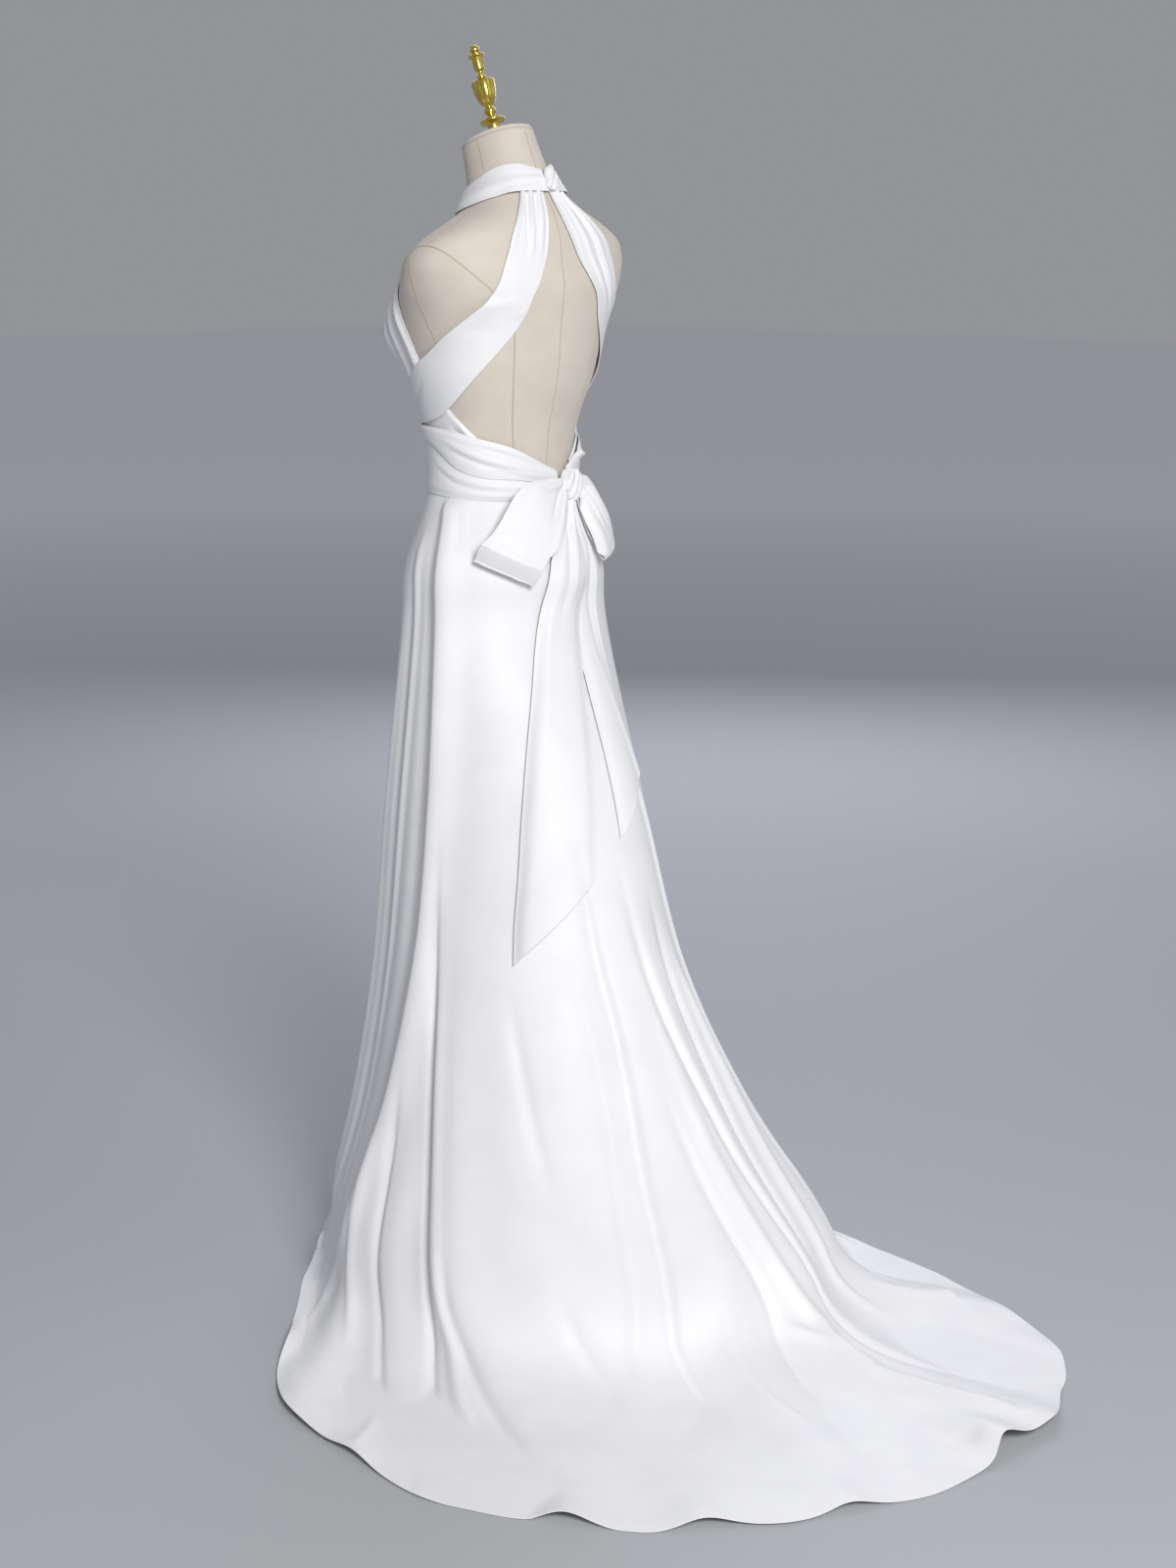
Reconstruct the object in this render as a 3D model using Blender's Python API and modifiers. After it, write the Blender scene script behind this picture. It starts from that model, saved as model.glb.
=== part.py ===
"""Satin halter wedding dress with an open back, a bow and a train, on a limbless dress form.

The form faces -Y, its left is +X, the train runs out towards +Y and the floor is z = 0.
An azimuth is counted in degrees round the form: 0 is the front, 90 its left, 180 the back.
"""
import bisect
import functools
import math
from collections import namedtuple

import bmesh
import bpy
import numpy as np
from mathutils import Vector

# Driving sizes in metres
WAIST_SEAM = 1.134
SEAM_GAP = 0.0004
CLOTH_WALL = 0.0015
SEAM_HALF_GAP = 0.00025
# How far the outer face of each layer stands off the form
SKIRT_LIFT = 0.0024
BODICE_LIFT = 0.0044
LOWER_SASH_LIFT = 0.0074
UPPER_SASH_LIFT = 0.0106
NECKBAND_LIFT = 0.0072
BODICE_BRIDGE = 0.0030
BODICE_BRIDGE_LENGTH = 0.050
FLOOR_LEVEL = 0.0002
CAP_THICKNESS = 0.006
TORSO_BOTTOM = 0.900
CAP_LEVEL = 1.629
POLE_RADIUS = 0.0125
BASE_RADIUS = 0.170
BASE_HEIGHT = 0.012
BASE_EDGE = 0.003
PIECE_GAP = 0.0003
SIDE_SEAM = 96.0
NECKBAND_START = 188.0
NECKBAND_TURN = 352.0
KNOT_AZIMUTH = 193.0
KNOT_LEVEL = 1.140
KNOT_LIFT = 0.0182
KNOT_SIZE = (0.026, 0.022, 0.040)
NAPE_AZIMUTH = 184.0
NAPE_LEVEL = 1.554
NAPE_LIFT = 0.0122
NAPE_SIZE = (0.017, 0.013, 0.030)
NAPE_TILT_DEG = 18.0
# How far a ribbon, a sash wrap or the neckband bulges along its middle, and the pleats of the straps
RIBBON_CROWN = 0.0020
BAND_CROWN = 0.0014
PLEAT_HEIGHT = 0.0012
PLEAT_COUNT = 3
PLEAT_END = 3.5

# Grid counts
FORM_SEGMENTS = 44
FORM_LEVELS = (1.629, 1.608, 1.585, 1.565, 1.550, 1.5375, 1.525, 1.5125, 1.500, 1.4875, 1.475, 1.460,
               1.445, 1.425, 1.400, 1.370, 1.340, 1.310, 1.280, 1.250, 1.220, 1.190, 1.160, 1.130,
               1.100, 1.060, 1.020, 0.980, 0.940, 0.900)
SKIRT_STEP_DEG = 5.0
FRONT_STEP_DEG = 8.0
BODICE_SHARES = (1, 0.975, 0.95, 0.92, 0.88, 0.83, 0.77, 0.70, 0.63, 0.585, 0.54, 0.50,
                 0.45, 0.37, 0.27, 0.13, 0)
BODICE_COLUMNS = (0.3, 7, 14, 21, 28, 34, 38, 42, 46, 50, 55, 60, 65, 70, 76, 80, 85, 90, 95, 100, 106,
                  113, 120, 130, 140, 150)

# Limbless form: one row for each section, from the hips to the neck cap
FormSection = namedtuple("FormSection", "level half_width front back centre slope")
FORM_SECTIONS = (
    FormSection(0.900, 0.148, 0.110, 0.112, 0.000, 0.00),
    FormSection(0.960, 0.156, 0.116, 0.119, 0.000, 0.00),
    FormSection(1.020, 0.153, 0.116, 0.120, 0.000, 0.00),
    FormSection(1.090, 0.131, 0.098, 0.099, 0.000, 0.00),
    FormSection(1.160, 0.113, 0.086, 0.084, 0.000, 0.00),
    FormSection(1.223, 0.119, 0.092, 0.091, 0.000, 0.00),
    FormSection(1.300, 0.144, 0.108, 0.112, 0.002, 0.00),
    FormSection(1.380, 0.168, 0.118, 0.120, 0.006, 0.00),
    FormSection(1.430, 0.189, 0.108, 0.114, 0.018, 0.00),
    FormSection(1.465, 0.194, 0.094, 0.098, 0.028, 0.00),
    FormSection(1.490, 0.178, 0.080, 0.084, 0.038, 0.04),
    FormSection(1.512, 0.139, 0.070, 0.074, 0.038, 0.10),
    FormSection(1.535, 0.088, 0.064, 0.067, 0.026, 0.20),
    FormSection(1.560, 0.062, 0.059, 0.060, 0.017, 0.28),
    FormSection(1.590, 0.053, 0.055, 0.055, 0.007, 0.33),
    FormSection(1.640, 0.047, 0.051, 0.051, -0.011, 0.36),
)
SECTION_ROUNDNESS = 0.94

# The cups of the form: two soft rounds that the cloth follows
CUP_AZIMUTH = 33.0
CUP_LEVEL = 1.352
CUP_HEIGHT = 0.036
CUP_SPREAD_DEG = 20.0
CUP_SPREAD_UP = 0.047

# Skirt: radius from the form's axis at each level, where it meets the floor, and at the hem
SKIRT_LEVELS = (0.70, 0.45, 0.25, 0.11)
SkirtSection = namedtuple("SkirtSection", "azimuth knee shin low foot touch hem")
SKIRT_SECTIONS = (
    SkirtSection(0, 0.150, 0.176, 0.206, 0.236, 0.250, 0.262),
    SkirtSection(43, 0.170, 0.196, 0.226, 0.254, 0.270, 0.286),
    SkirtSection(80, 0.192, 0.218, 0.255, 0.298, 0.325, 0.365),
    SkirtSection(98, 0.197, 0.238, 0.295, 0.370, 0.430, 0.510),
    SkirtSection(107, 0.202, 0.252, 0.330, 0.430, 0.505, 0.660),
    SkirtSection(119, 0.210, 0.275, 0.372, 0.490, 0.585, 0.810),
    SkirtSection(134, 0.220, 0.298, 0.415, 0.550, 0.665, 0.965),
    SkirtSection(150, 0.230, 0.318, 0.450, 0.600, 0.720, 1.034),
    SkirtSection(170, 0.236, 0.328, 0.462, 0.605, 0.725, 1.045),
    SkirtSection(189, 0.232, 0.308, 0.422, 0.540, 0.640, 0.925),
    SkirtSection(205, 0.210, 0.274, 0.364, 0.454, 0.530, 0.650),
    SkirtSection(223, 0.201, 0.250, 0.316, 0.374, 0.405, 0.425),
    SkirtSection(250, 0.194, 0.230, 0.276, 0.318, 0.344, 0.368),
    SkirtSection(280, 0.190, 0.216, 0.252, 0.292, 0.316, 0.338),
    SkirtSection(317, 0.172, 0.196, 0.226, 0.254, 0.270, 0.284),
)
# Levels above the knee, where the skirt still follows the form, and its ease there
SKIRT_FITTED = ((WAIST_SEAM - SEAM_GAP, 0.0000), (1.085, 0.0014), (1.020, 0.0045), (0.935, 0.0120))
# How the train turns onto the floor: share of the way from foot to touch, or on to the hem, and height
SWEEP_SHARE = 0.55
SWEEP_HEIGHT = 0.038
LANDING_SHARE = 0.16
LANDING_HEIGHT = 0.0065
LYING_SHARE = 0.55
# Rows of the skirt's mesh, counted along its run: 0 the waist seam, 11 the hem
SKIRT_RUNS = (0, 0.6, 1.3, 2, 2.6, 3.2, 3.8, 4.4, 5, 5.5, 6, 6.5, 7, 7.5, 8, 8.6, 9.2, 9.8, 10.4, 11)
HEM_RUN = 11.0

# Largest folds of the skirt: a ridge is a positive height, a trough a negative one
SkirtFold = namedtuple("SkirtFold", "top_azimuth hem_azimuth top_run end_run height width")
SKIRT_FOLDS = (
    SkirtFold(109, 136, 4.2, 10.4, -0.014, 5.0),
    SkirtFold(117, 141, 4.6, 9.6, 0.013, 6.5),
    SkirtFold(103, 121, 5.2, 9.4, -0.008, 4.5),
    SkirtFold(97, 113, 4.6, 10.6, 0.010, 5.5),
    SkirtFold(125, 139, 7.0, 10.2, -0.007, 4.0),
    SkirtFold(133, 146, 4.6, 6.6, 0.005, 5.0),
    SkirtFold(160, 154, 4.0, 8.6, -0.009, 4.5),
    SkirtFold(152, 158, 5.8, 9.6, -0.007, 4.5),
    SkirtFold(164, 160, 4.6, 9.8, 0.010, 5.0),
    SkirtFold(168, 166, 5.6, 10.0, -0.009, 4.5),
    SkirtFold(176, 176, 4.2, 10.9, 0.012, 5.5),
    SkirtFold(184, 184, 4.8, 10.4, -0.010, 5.0),
    SkirtFold(192, 196, 4.4, 10.2, 0.011, 5.0),
    SkirtFold(202, 205, 4.6, 10.4, -0.010, 5.0),
    SkirtFold(212, 214, 4.4, 10.0, 0.010, 6.0),
    SkirtFold(224, 226, 5.0, 10.6, -0.009, 7.0),
    SkirtFold(240, 244, 4.6, 10.9, 0.010, 8.0),
    SkirtFold(262, 266, 5.0, 10.9, -0.008, 8.0),
    SkirtFold(292, 296, 5.2, 10.9, 0.008, 9.0),
    SkirtFold(338, 336, 5.4, 10.9, 0.007, 9.0),
    SkirtFold(24, 26, 5.4, 10.9, 0.007, 9.0),
    SkirtFold(70, 66, 5.0, 10.9, 0.009, 8.0),
)

# Edge of the front bodice: level of its top edge at each azimuth of the left half
BodiceEdge = namedtuple("BodiceEdge", "azimuth level")
BODICE_EDGE = (
    BodiceEdge(0.3, 1.5325),
    BodiceEdge(22, 1.5330),
    BodiceEdge(34, 1.5320),
    BodiceEdge(40, 1.500),
    BodiceEdge(47, 1.455),
    BodiceEdge(55, 1.425),
    BodiceEdge(65, 1.398),
    BodiceEdge(76, 1.357),
    BodiceEdge(84, 1.318),
    BodiceEdge(92, 1.284),
    BodiceEdge(100, 1.257),
    BodiceEdge(110, 1.236),
    BodiceEdge(120, 1.218),
    BodiceEdge(134, 1.200),
    BodiceEdge(150, 1.176),
)

# Strips laid on the form: azimuth and level of both edges, and how far the outer face stands off
Strip = namedtuple("Strip", "azimuth_a level_a azimuth_b level_b lift")
STRAP_TOPS = {
    "left": (
        Strip(148.0, 1.5450, 174.5, 1.5440, 0.0036),
        Strip(149.5, 1.5050, 171.5, 1.5020, 0.0036),
        Strip(149.0, 1.4700, 169.5, 1.4680, 0.0036),
        Strip(144.0, 1.4370, 165.5, 1.4400, 0.0036),
        Strip(138.0, 1.4150, 160.7, 1.4150, 0.0036),
    ),
    "right": (
        Strip(148.0, 1.5450, 177.5, 1.5440, 0.0036),
        Strip(149.5, 1.5050, 178.0, 1.5120, 0.0036),
        Strip(148.5, 1.4700, 174.5, 1.4740, 0.0036),
        Strip(144.0, 1.4370, 168.5, 1.4410, 0.0036),
        Strip(138.0, 1.4150, 161.5, 1.4145, 0.0036),
    ),
}
STRAP_ENDS = (
    Strip(130.0, 1.3990, 155.0, 1.3830, 0.0036),
    Strip(118.0, 1.3780, 147.0, 1.3570, 0.0037),
    Strip(106.0, 1.3580, 134.6, 1.3260, 0.0042),
    Strip(94.4, 1.3380, 120.4, 1.2950, 0.0064),
    Strip(82.0, 1.3200, 108.0, 1.2700, 0.0080),
    Strip(69.0, 1.3020, 95.0, 1.2500, 0.0082),
    Strip(54.0, 1.2860, 80.0, 1.2390, 0.0082),
    Strip(38.0, 1.2740, 58.0, 1.2350, 0.0082),
    Strip(20.0, 1.2670, 28.0, 1.2345, 0.0082),
    Strip(0.3, 1.2660, 0.3, 1.2345, 0.0082),
)

# Neckband: levels of its lower and upper edge round the neck
NeckEdge = namedtuple("NeckEdge", "azimuth lower upper")
NECK_BAND = (
    NeckEdge(0, 1.529, 1.560),
    NeckEdge(60, 1.531, 1.565),
    NeckEdge(90, 1.535, 1.571),
    NeckEdge(115, 1.539, 1.578),
    NeckEdge(150, 1.541, 1.577),
    NeckEdge(180, 1.540, 1.568),
    NeckEdge(210, 1.541, 1.577),
    NeckEdge(245, 1.539, 1.578),
    NeckEdge(270, 1.535, 1.571),
    NeckEdge(300, 1.531, 1.565),
)

# Sash wraps: levels of both edges from the bow round the front to the bow again
SashEdge = namedtuple("SashEdge", "azimuth lower upper")
UPPER_SASH = (
    SashEdge(-161.6, 1.145, 1.168),
    SashEdge(-150, 1.150, 1.181),
    SashEdge(-122, 1.158, 1.207),
    SashEdge(-95, 1.168, 1.219),
    SashEdge(-60, 1.182, 1.230),
    SashEdge(0, 1.196, 1.232),
    SashEdge(60, 1.212, 1.232),
    SashEdge(82, 1.201, 1.231),
    SashEdge(101, 1.174, 1.227),
    SashEdge(121, 1.160, 1.217),
    SashEdge(153, 1.153, 1.199),
    SashEdge(170, 1.149, 1.182),
    SashEdge(186.2, 1.146, 1.166),
)
LOWER_SASH = (
    SashEdge(-160.5, 1.125, 1.143),
    SashEdge(-140, 1.124, 1.166),
    SashEdge(-100, 1.128, 1.184),
    SashEdge(0, 1.132, 1.212),
    SashEdge(65, 1.132, 1.222),
    SashEdge(82, 1.131, 1.212),
    SashEdge(101, 1.128, 1.186),
    SashEdge(121, 1.126, 1.174),
    SashEdge(155, 1.124, 1.164),
    SashEdge(185, 1.126, 1.1445),
)

# Bow: edges of each ribbon on the dress, with the lift of its outer face
LEFT_LOOP = (
    Strip(188.2, 1.152, 188.2, 1.132, 0.018),
    Strip(172, 1.153, 183, 1.108, 0.025),
    Strip(155, 1.146, 177, 1.076, 0.031),
    Strip(144, 1.118, 169, 1.050, 0.034),
    Strip(134, 1.074, 162.5, 1.038, 0.034),
    Strip(127.5, 1.057, 157.5, 1.023, 0.0335),
    Strip(124, 1.042, 156, 1.009, 0.0150),
    Strip(127, 1.054, 158, 1.015, 0.0105),
    Strip(138, 1.090, 164, 1.036, 0.0095),
    Strip(152, 1.120, 172, 1.062, 0.0105),
    Strip(170, 1.144, 180, 1.096, 0.0120),
    Strip(188.0, 1.148, 188.0, 1.136, 0.0150),
)
RIGHT_LOOP = (
    Strip(197.8, 1.132, 197.8, 1.152, 0.018),
    Strip(198.5, 1.108, 212, 1.150, 0.0245),
    Strip(198.5, 1.082, 222, 1.125, 0.0285),
    Strip(199, 1.060, 230, 1.092, 0.0300),
    Strip(200, 1.042, 232, 1.060, 0.0280),
    Strip(203, 1.028, 229, 1.041, 0.0225),
    Strip(203, 1.034, 228, 1.052, 0.0160),
    Strip(201, 1.060, 226, 1.095, 0.0130),
    Strip(200, 1.090, 214, 1.130, 0.0135),
    Strip(198.6, 1.136, 198.6, 1.148, 0.0150),
)
LEFT_TAIL = (
    Strip(188, 1.1225, 197, 1.1225, 0.0170),
    Strip(181, 1.085, 196, 1.085, 0.0138),
    Strip(170, 1.040, 195, 1.040, 0.0140),
    Strip(163.7, 0.975, 190, 0.985, 0.0138),
    Strip(155, 0.896, 184, 0.925, 0.0125),
    Strip(146, 0.794, 177, 0.845, 0.0125),
    Strip(141, 0.700, 170.5, 0.765, 0.0125),
    Strip(138.5, 0.600, 165.5, 0.680, 0.0125),
    Strip(137.3, 0.540, 163.5, 0.635, 0.0125),
    Strip(136.9, 0.488, 162, 0.600, 0.0125),
)
RIGHT_TAIL = (
    Strip(191, 1.1230, 198, 1.1230, 0.0120),
    Strip(188, 1.080, 203, 1.080, 0.0085),
    Strip(185, 1.020, 206, 1.020, 0.0068),
    Strip(183, 0.940, 207, 0.950, 0.0068),
    Strip(180, 0.841, 204, 0.870, 0.0068),
    Strip(177, 0.740, 199, 0.800, 0.0068),
    Strip(174.5, 0.650, 196, 0.735, 0.0068),
)

Finish = namedtuple("Finish", "colour roughness metallic")
FINISHES = {
    "satin": Finish((0.93, 0.93, 0.95, 1.0), 0.32, 0.0),
    "cover": Finish((0.74, 0.67, 0.58, 1.0), 0.85, 0.0),
    "brass": Finish((0.83, 0.62, 0.22, 1.0), 0.18, 1.0),
    "steel": Finish((0.55, 0.55, 0.56, 1.0), 0.38, 1.0),
}

PARTS_COLLECTION = "wedding_dress_on_form"


def clear_scene():
    for existing in list(bpy.data.objects):
        bpy.data.objects.remove(existing, do_unlink=True)


def make_collection(name):
    collection = bpy.data.collections.new(name)
    bpy.context.scene.collection.children.link(collection)
    return collection


def material(node, finish):
    """Each piece has a material of its own, named for the piece and its finish."""
    look = FINISHES[finish]
    made = bpy.data.materials.new(node + "_" + finish)
    made.use_nodes = True
    shader = made.node_tree.nodes["Principled BSDF"]
    shader.inputs["Base Color"].default_value = look.colour
    shader.inputs["Roughness"].default_value = look.roughness
    shader.inputs["Metallic"].default_value = look.metallic
    return made


# Interpolation along the tables

class Curve:
    """Smooth curve through the rows of a table: its first column, then the values there."""

    def __init__(self, rows):
        table = np.array(rows, dtype=float)
        self.knots = table[:, 0].tolist()
        self.values = table[:, 1:].tolist()
        self.slopes = np.gradient(table[:, 1:], table[:, 0], axis=0).tolist()

    def at(self, place):
        place = min(max(place, self.knots[0]), self.knots[-1])
        index = min(max(bisect.bisect_left(self.knots, place) - 1, 0), len(self.knots) - 2)
        span = self.knots[index + 1] - self.knots[index]
        t = (place - self.knots[index]) / span
        start = (1 + 2 * t) * (1 - t) ** 2
        leave = t * (1 - t) ** 2 * span
        end = t * t * (3 - 2 * t)
        arrive = t * t * (t - 1) * span
        rows = zip(self.values[index], self.slopes[index], self.values[index + 1], self.slopes[index + 1])
        return [start * a + leave * da + end * b + arrive * db for a, da, b, db in rows]


def round_curve(rows):
    """Curve through rows that start with an azimuth and repeat every turn."""
    table = np.array(rows, dtype=float)
    before = table.copy()
    before[:, 0] -= 360
    after = table.copy()
    after[:, 0] += 360
    return Curve(np.vstack([before, table, after]))


FORM_CURVE = Curve(FORM_SECTIONS)
SKIRT_CURVE = round_curve(SKIRT_SECTIONS)
NECK_CURVE = round_curve(NECK_BAND)
BODICE_CURVE = Curve(BODICE_EDGE)


def bell(offset, width):
    return math.exp(-(offset / width) ** 2)


def angle_between(first, second):
    return (first - second + 180) % 360 - 180


# Surfaces that the pieces lie on

def form_raw(azimuth, level):
    half_width, front, back, centre, slope = FORM_CURVE.at(level)
    turn = math.radians(azimuth)
    side = math.copysign(abs(math.sin(turn)) ** SECTION_ROUNDNESS, math.sin(turn))
    ahead = math.copysign(abs(math.cos(turn)) ** SECTION_ROUNDNESS, math.cos(turn))
    cup = sum(
        bell(angle_between(azimuth, middle), CUP_SPREAD_DEG)
        for middle in (CUP_AZIMUTH, -CUP_AZIMUTH)
    ) * bell(level - CUP_LEVEL, CUP_SPREAD_UP) * CUP_HEIGHT
    x = half_width * side + cup * math.sin(turn)
    y = -(front if ahead > 0 else back) * ahead - cup * math.cos(turn)
    return Vector((x, centre + y, level + slope * y))


@functools.lru_cache(maxsize=None)
def meridian(azimuth):
    """Curve down the smooth skirt at one azimuth, from the waist seam to the hem."""
    row = SKIRT_CURVE.at(azimuth % 360)
    outward = Vector((math.sin(math.radians(azimuth)), -math.cos(math.radians(azimuth)), 0))
    floor = FLOOR_LEVEL + CLOTH_WALL
    points = []
    for level, ease in SKIRT_FITTED:
        points.append(form_point(azimuth, level, SKIRT_LIFT + ease))
    for level, radius in zip(SKIRT_LEVELS, row[:4]):
        points.append(outward * radius + Vector((0, 0, level)))
    foot, touch, hem = row[3:]
    for start, end, share, height in ((foot, touch, SWEEP_SHARE, SWEEP_HEIGHT),
                                      (touch, hem, LANDING_SHARE, LANDING_HEIGHT),
                                      (touch, hem, LYING_SHARE, 0.0), (touch, hem, 1.0, 0.0)):
        points.append(outward * (start + (end - start) * share) + Vector((0, 0, floor + height)))
    return Curve([(index, *point) for index, point in enumerate(points)])


def skirt_raw(azimuth, run):
    """Point of the smooth skirt, before its folds."""
    place = Vector(meridian(azimuth).at(run))
    place.z = max(place.z, FLOOR_LEVEL + CLOTH_WALL)
    return place


def normal_of(surface, azimuth, along):
    """Outward normal of a surface given by azimuth and a level or run that falls or rises."""
    turn = surface(azimuth + 0.5, along) - surface(azimuth - 0.5, along)
    rise = surface(azimuth, along + 0.004) - surface(azimuth, along - 0.004)
    normal = turn.cross(rise)
    if surface is skirt_raw:
        normal = -normal
    return normal.normalized()


def form_point(azimuth, level, lift):
    return form_raw(azimuth, level) + normal_of(form_raw, azimuth, level) * lift


def fold_height(azimuth, run):
    total = 0.0
    for fold in SKIRT_FOLDS:
        if run <= fold.top_run or run > fold.end_run + 1:
            continue
        share = (run - fold.top_run) / (HEM_RUN - fold.top_run)
        middle = fold.top_azimuth + (fold.hem_azimuth - fold.top_azimuth) * share
        grow = min(1.0, (run - fold.top_run) / 2.2) ** 1.5
        fade = min(1.0, max(0.0, fold.end_run + 1 - run))
        total += fold.height * grow * fade * bell(angle_between(azimuth, middle), fold.width)
    return total


def skirt_point(azimuth, run, lift=0.0):
    inner_run = min(max(run, 0.01), HEM_RUN - 0.01)
    height = fold_height(azimuth, run) + lift
    place = skirt_raw(azimuth, run) + normal_of(skirt_raw, azimuth, inner_run) * height
    place.z = max(place.z, FLOOR_LEVEL + CLOTH_WALL)
    return place


def run_at_level(azimuth, level):
    """Run of the skirt that reaches a level, found by halving."""
    low, high = 0.0, HEM_RUN
    for _ in range(18):
        middle = (low + high) / 2
        if skirt_raw(azimuth, middle).z > level:
            low = middle
        else:
            high = middle
    return (low + high) / 2


def dress_point(azimuth, level, lift):
    """Point over the form above the waist seam, and over the skirt below it."""
    if level >= WAIST_SEAM - SEAM_GAP:
        return form_point(azimuth, level, lift + SKIRT_LIFT)
    return skirt_point(azimuth, run_at_level(azimuth, level), lift)


# Mesh builders

def link_mesh(name, mesh, finish, collection):
    mesh.materials.append(material(name, finish))
    made = bpy.data.objects.new(name, mesh)
    collection.objects.link(made)
    return made


def loft_object(name, rows, finish, collection, closed_round=False, caps=False):
    """Quads between rows of points, each row running round to the form's left."""
    mesh_builder = bmesh.new()
    grid = [[mesh_builder.verts.new(point) for point in row] for row in rows]
    count = len(grid[0])
    last = count if closed_round else count - 1
    for upper, lower in zip(grid, grid[1:]):
        for column in range(last):
            after = (column + 1) % count
            mesh_builder.faces.new((upper[column], lower[column], lower[after], upper[after]))
    if caps:
        mesh_builder.faces.new(grid[0])
        mesh_builder.faces.new(list(reversed(grid[-1])))
    mesh = bpy.data.meshes.new(name)
    mesh_builder.to_mesh(mesh)
    mesh_builder.free()
    mesh.shade_smooth()
    return link_mesh(name, mesh, finish, collection)


def cloth_wall(made, thickness=CLOTH_WALL):
    """A cloth piece is its outer face with a wall that grows inwards."""
    shell = made.modifiers.new("cloth_wall", "SOLIDIFY")
    shell.thickness = thickness
    shell.offset = -1.0
    shell.use_even_offset = False
    return made


def strip_rows(strips, across, along, point_at):
    """Rows of points over a strip given by both its edges."""
    edges = Curve([(index, *strip) for index, strip in enumerate(strips)])
    rows = []
    for step in range(along + 1):
        at = step * (len(strips) - 1) / along
        azimuth_a, level_a, azimuth_b, level_b, lift = edges.at(at)
        row = []
        for column in range(across + 1):
            share = column / across
            azimuth = azimuth_a + (azimuth_b - azimuth_a) * share
            level = level_a + (level_b - level_a) * share
            row.append(point_at(azimuth, level, lift, share, at))
        rows.append(row)
    return rows


def mirrored(rows):
    """The same rows on the form's right side, still running round to its left."""
    return [[Vector((-point.x, point.y, point.z)) for point in reversed(row)] for row in rows]


def turned_profile(name, profile, finish, collection, steps):
    """Round piece from a half profile of radius and height, from its top down."""
    mesh = bpy.data.meshes.new(name)
    points = [(radius, 0, height) for radius, height in profile]
    edges = [(index, index + 1) for index in range(len(points) - 1)]
    mesh.from_pydata(points, edges, [])
    made = link_mesh(name, mesh, finish, collection)
    screw = made.modifiers.new("turned", "SCREW")
    screw.steps = steps
    screw.render_steps = steps
    screw.use_merge_vertices = True
    screw.merge_threshold = 0.00005
    screw.use_smooth_shade = True
    return made


# The form and its stand

def build_form(collection):
    rows = []
    for level in FORM_LEVELS:
        turns = [360 * step / FORM_SEGMENTS for step in range(FORM_SEGMENTS)]
        rows.append([form_raw(azimuth, level) for azimuth in turns])
    loft_object("form_torso", rows, "cover", collection, closed_round=True, caps=True)
    cap_rows = []
    middle = sum(rows[0], Vector()) / FORM_SEGMENTS
    upward = cap_direction()
    for height, scale in ((CAP_THICKNESS, 0.90), (CAP_THICKNESS - 0.0012, 0.97),
                          (PIECE_GAP + 0.0012, 0.985), (PIECE_GAP, 0.96)):
        cap_rows.append([middle + (point - middle) * scale + upward * height for point in rows[0]])
    loft_object("form_neck_cap", cap_rows, "cover", collection, closed_round=True, caps=True)


def cap_direction():
    """Direction square to the slanted top of the neck."""
    front = form_raw(0, CAP_LEVEL)
    back = form_raw(180, CAP_LEVEL)
    left = form_raw(90, CAP_LEVEL)
    right = form_raw(270, CAP_LEVEL)
    return (back - front).cross(right - left).normalized()


FINIAL_FOOT = ((0.0, 0.0290), (0.0062, 0.0290), (0.0064, 0.0262), (0.0182, 0.0238), (0.0190, 0.0222),
               (0.0182, 0.0206), (0.0086, 0.0190), (0.0080, 0.0030), (0.0104, 0.0), (0.0, 0.0))
FINIAL_URN = ((0.0, 0.0560), (0.0040, 0.0560), (0.0050, 0.0530), (0.0162, 0.0520), (0.0172, 0.0500),
              (0.0166, 0.0400), (0.0140, 0.0280), (0.0100, 0.0190), (0.0050, 0.0150), (0.0046, 0.0130),
              (0.0078, 0.0110), (0.0086, 0.0080), (0.0078, 0.0045), (0.0046, 0.0020), (0.0046, 0.0),
              (0.0, 0.0))
FINIAL_TOP = ((0.0, 0.0494), (0.0032, 0.0488), (0.0060, 0.0464), (0.0069, 0.0430), (0.0060, 0.0398),
              (0.0034, 0.0378), (0.0034, 0.0360), (0.0112, 0.0352), (0.0119, 0.0335), (0.0112, 0.0318),
              (0.0074, 0.0310), (0.0074, 0.0130), (0.0060, 0.0120), (0.0034, 0.0100), (0.0034, 0.0055),
              (0.0064, 0.0030), (0.0064, 0.0), (0.0, 0.0))


def build_finial(collection):
    """Turned brass finial in three pieces, square to the slanted neck cap."""
    upward = cap_direction()
    turn = upward.to_track_quat("Z", "Y")
    rim = [form_raw(azimuth, CAP_LEVEL) for azimuth in range(0, 360, 30)]
    seat = sum(rim, Vector()) / len(rim)
    height = CAP_THICKNESS + PIECE_GAP
    for name, profile, steps in (("finial_foot", FINIAL_FOOT, 16), ("finial_urn", FINIAL_URN, 12),
                                 ("finial_top", FINIAL_TOP, 12)):
        made = turned_profile(name, profile, "brass", collection, steps)
        made.rotation_mode = "QUATERNION"
        made.rotation_quaternion = turn
        made.location = seat + upward * height
        height += profile[0][1] + PIECE_GAP


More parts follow.
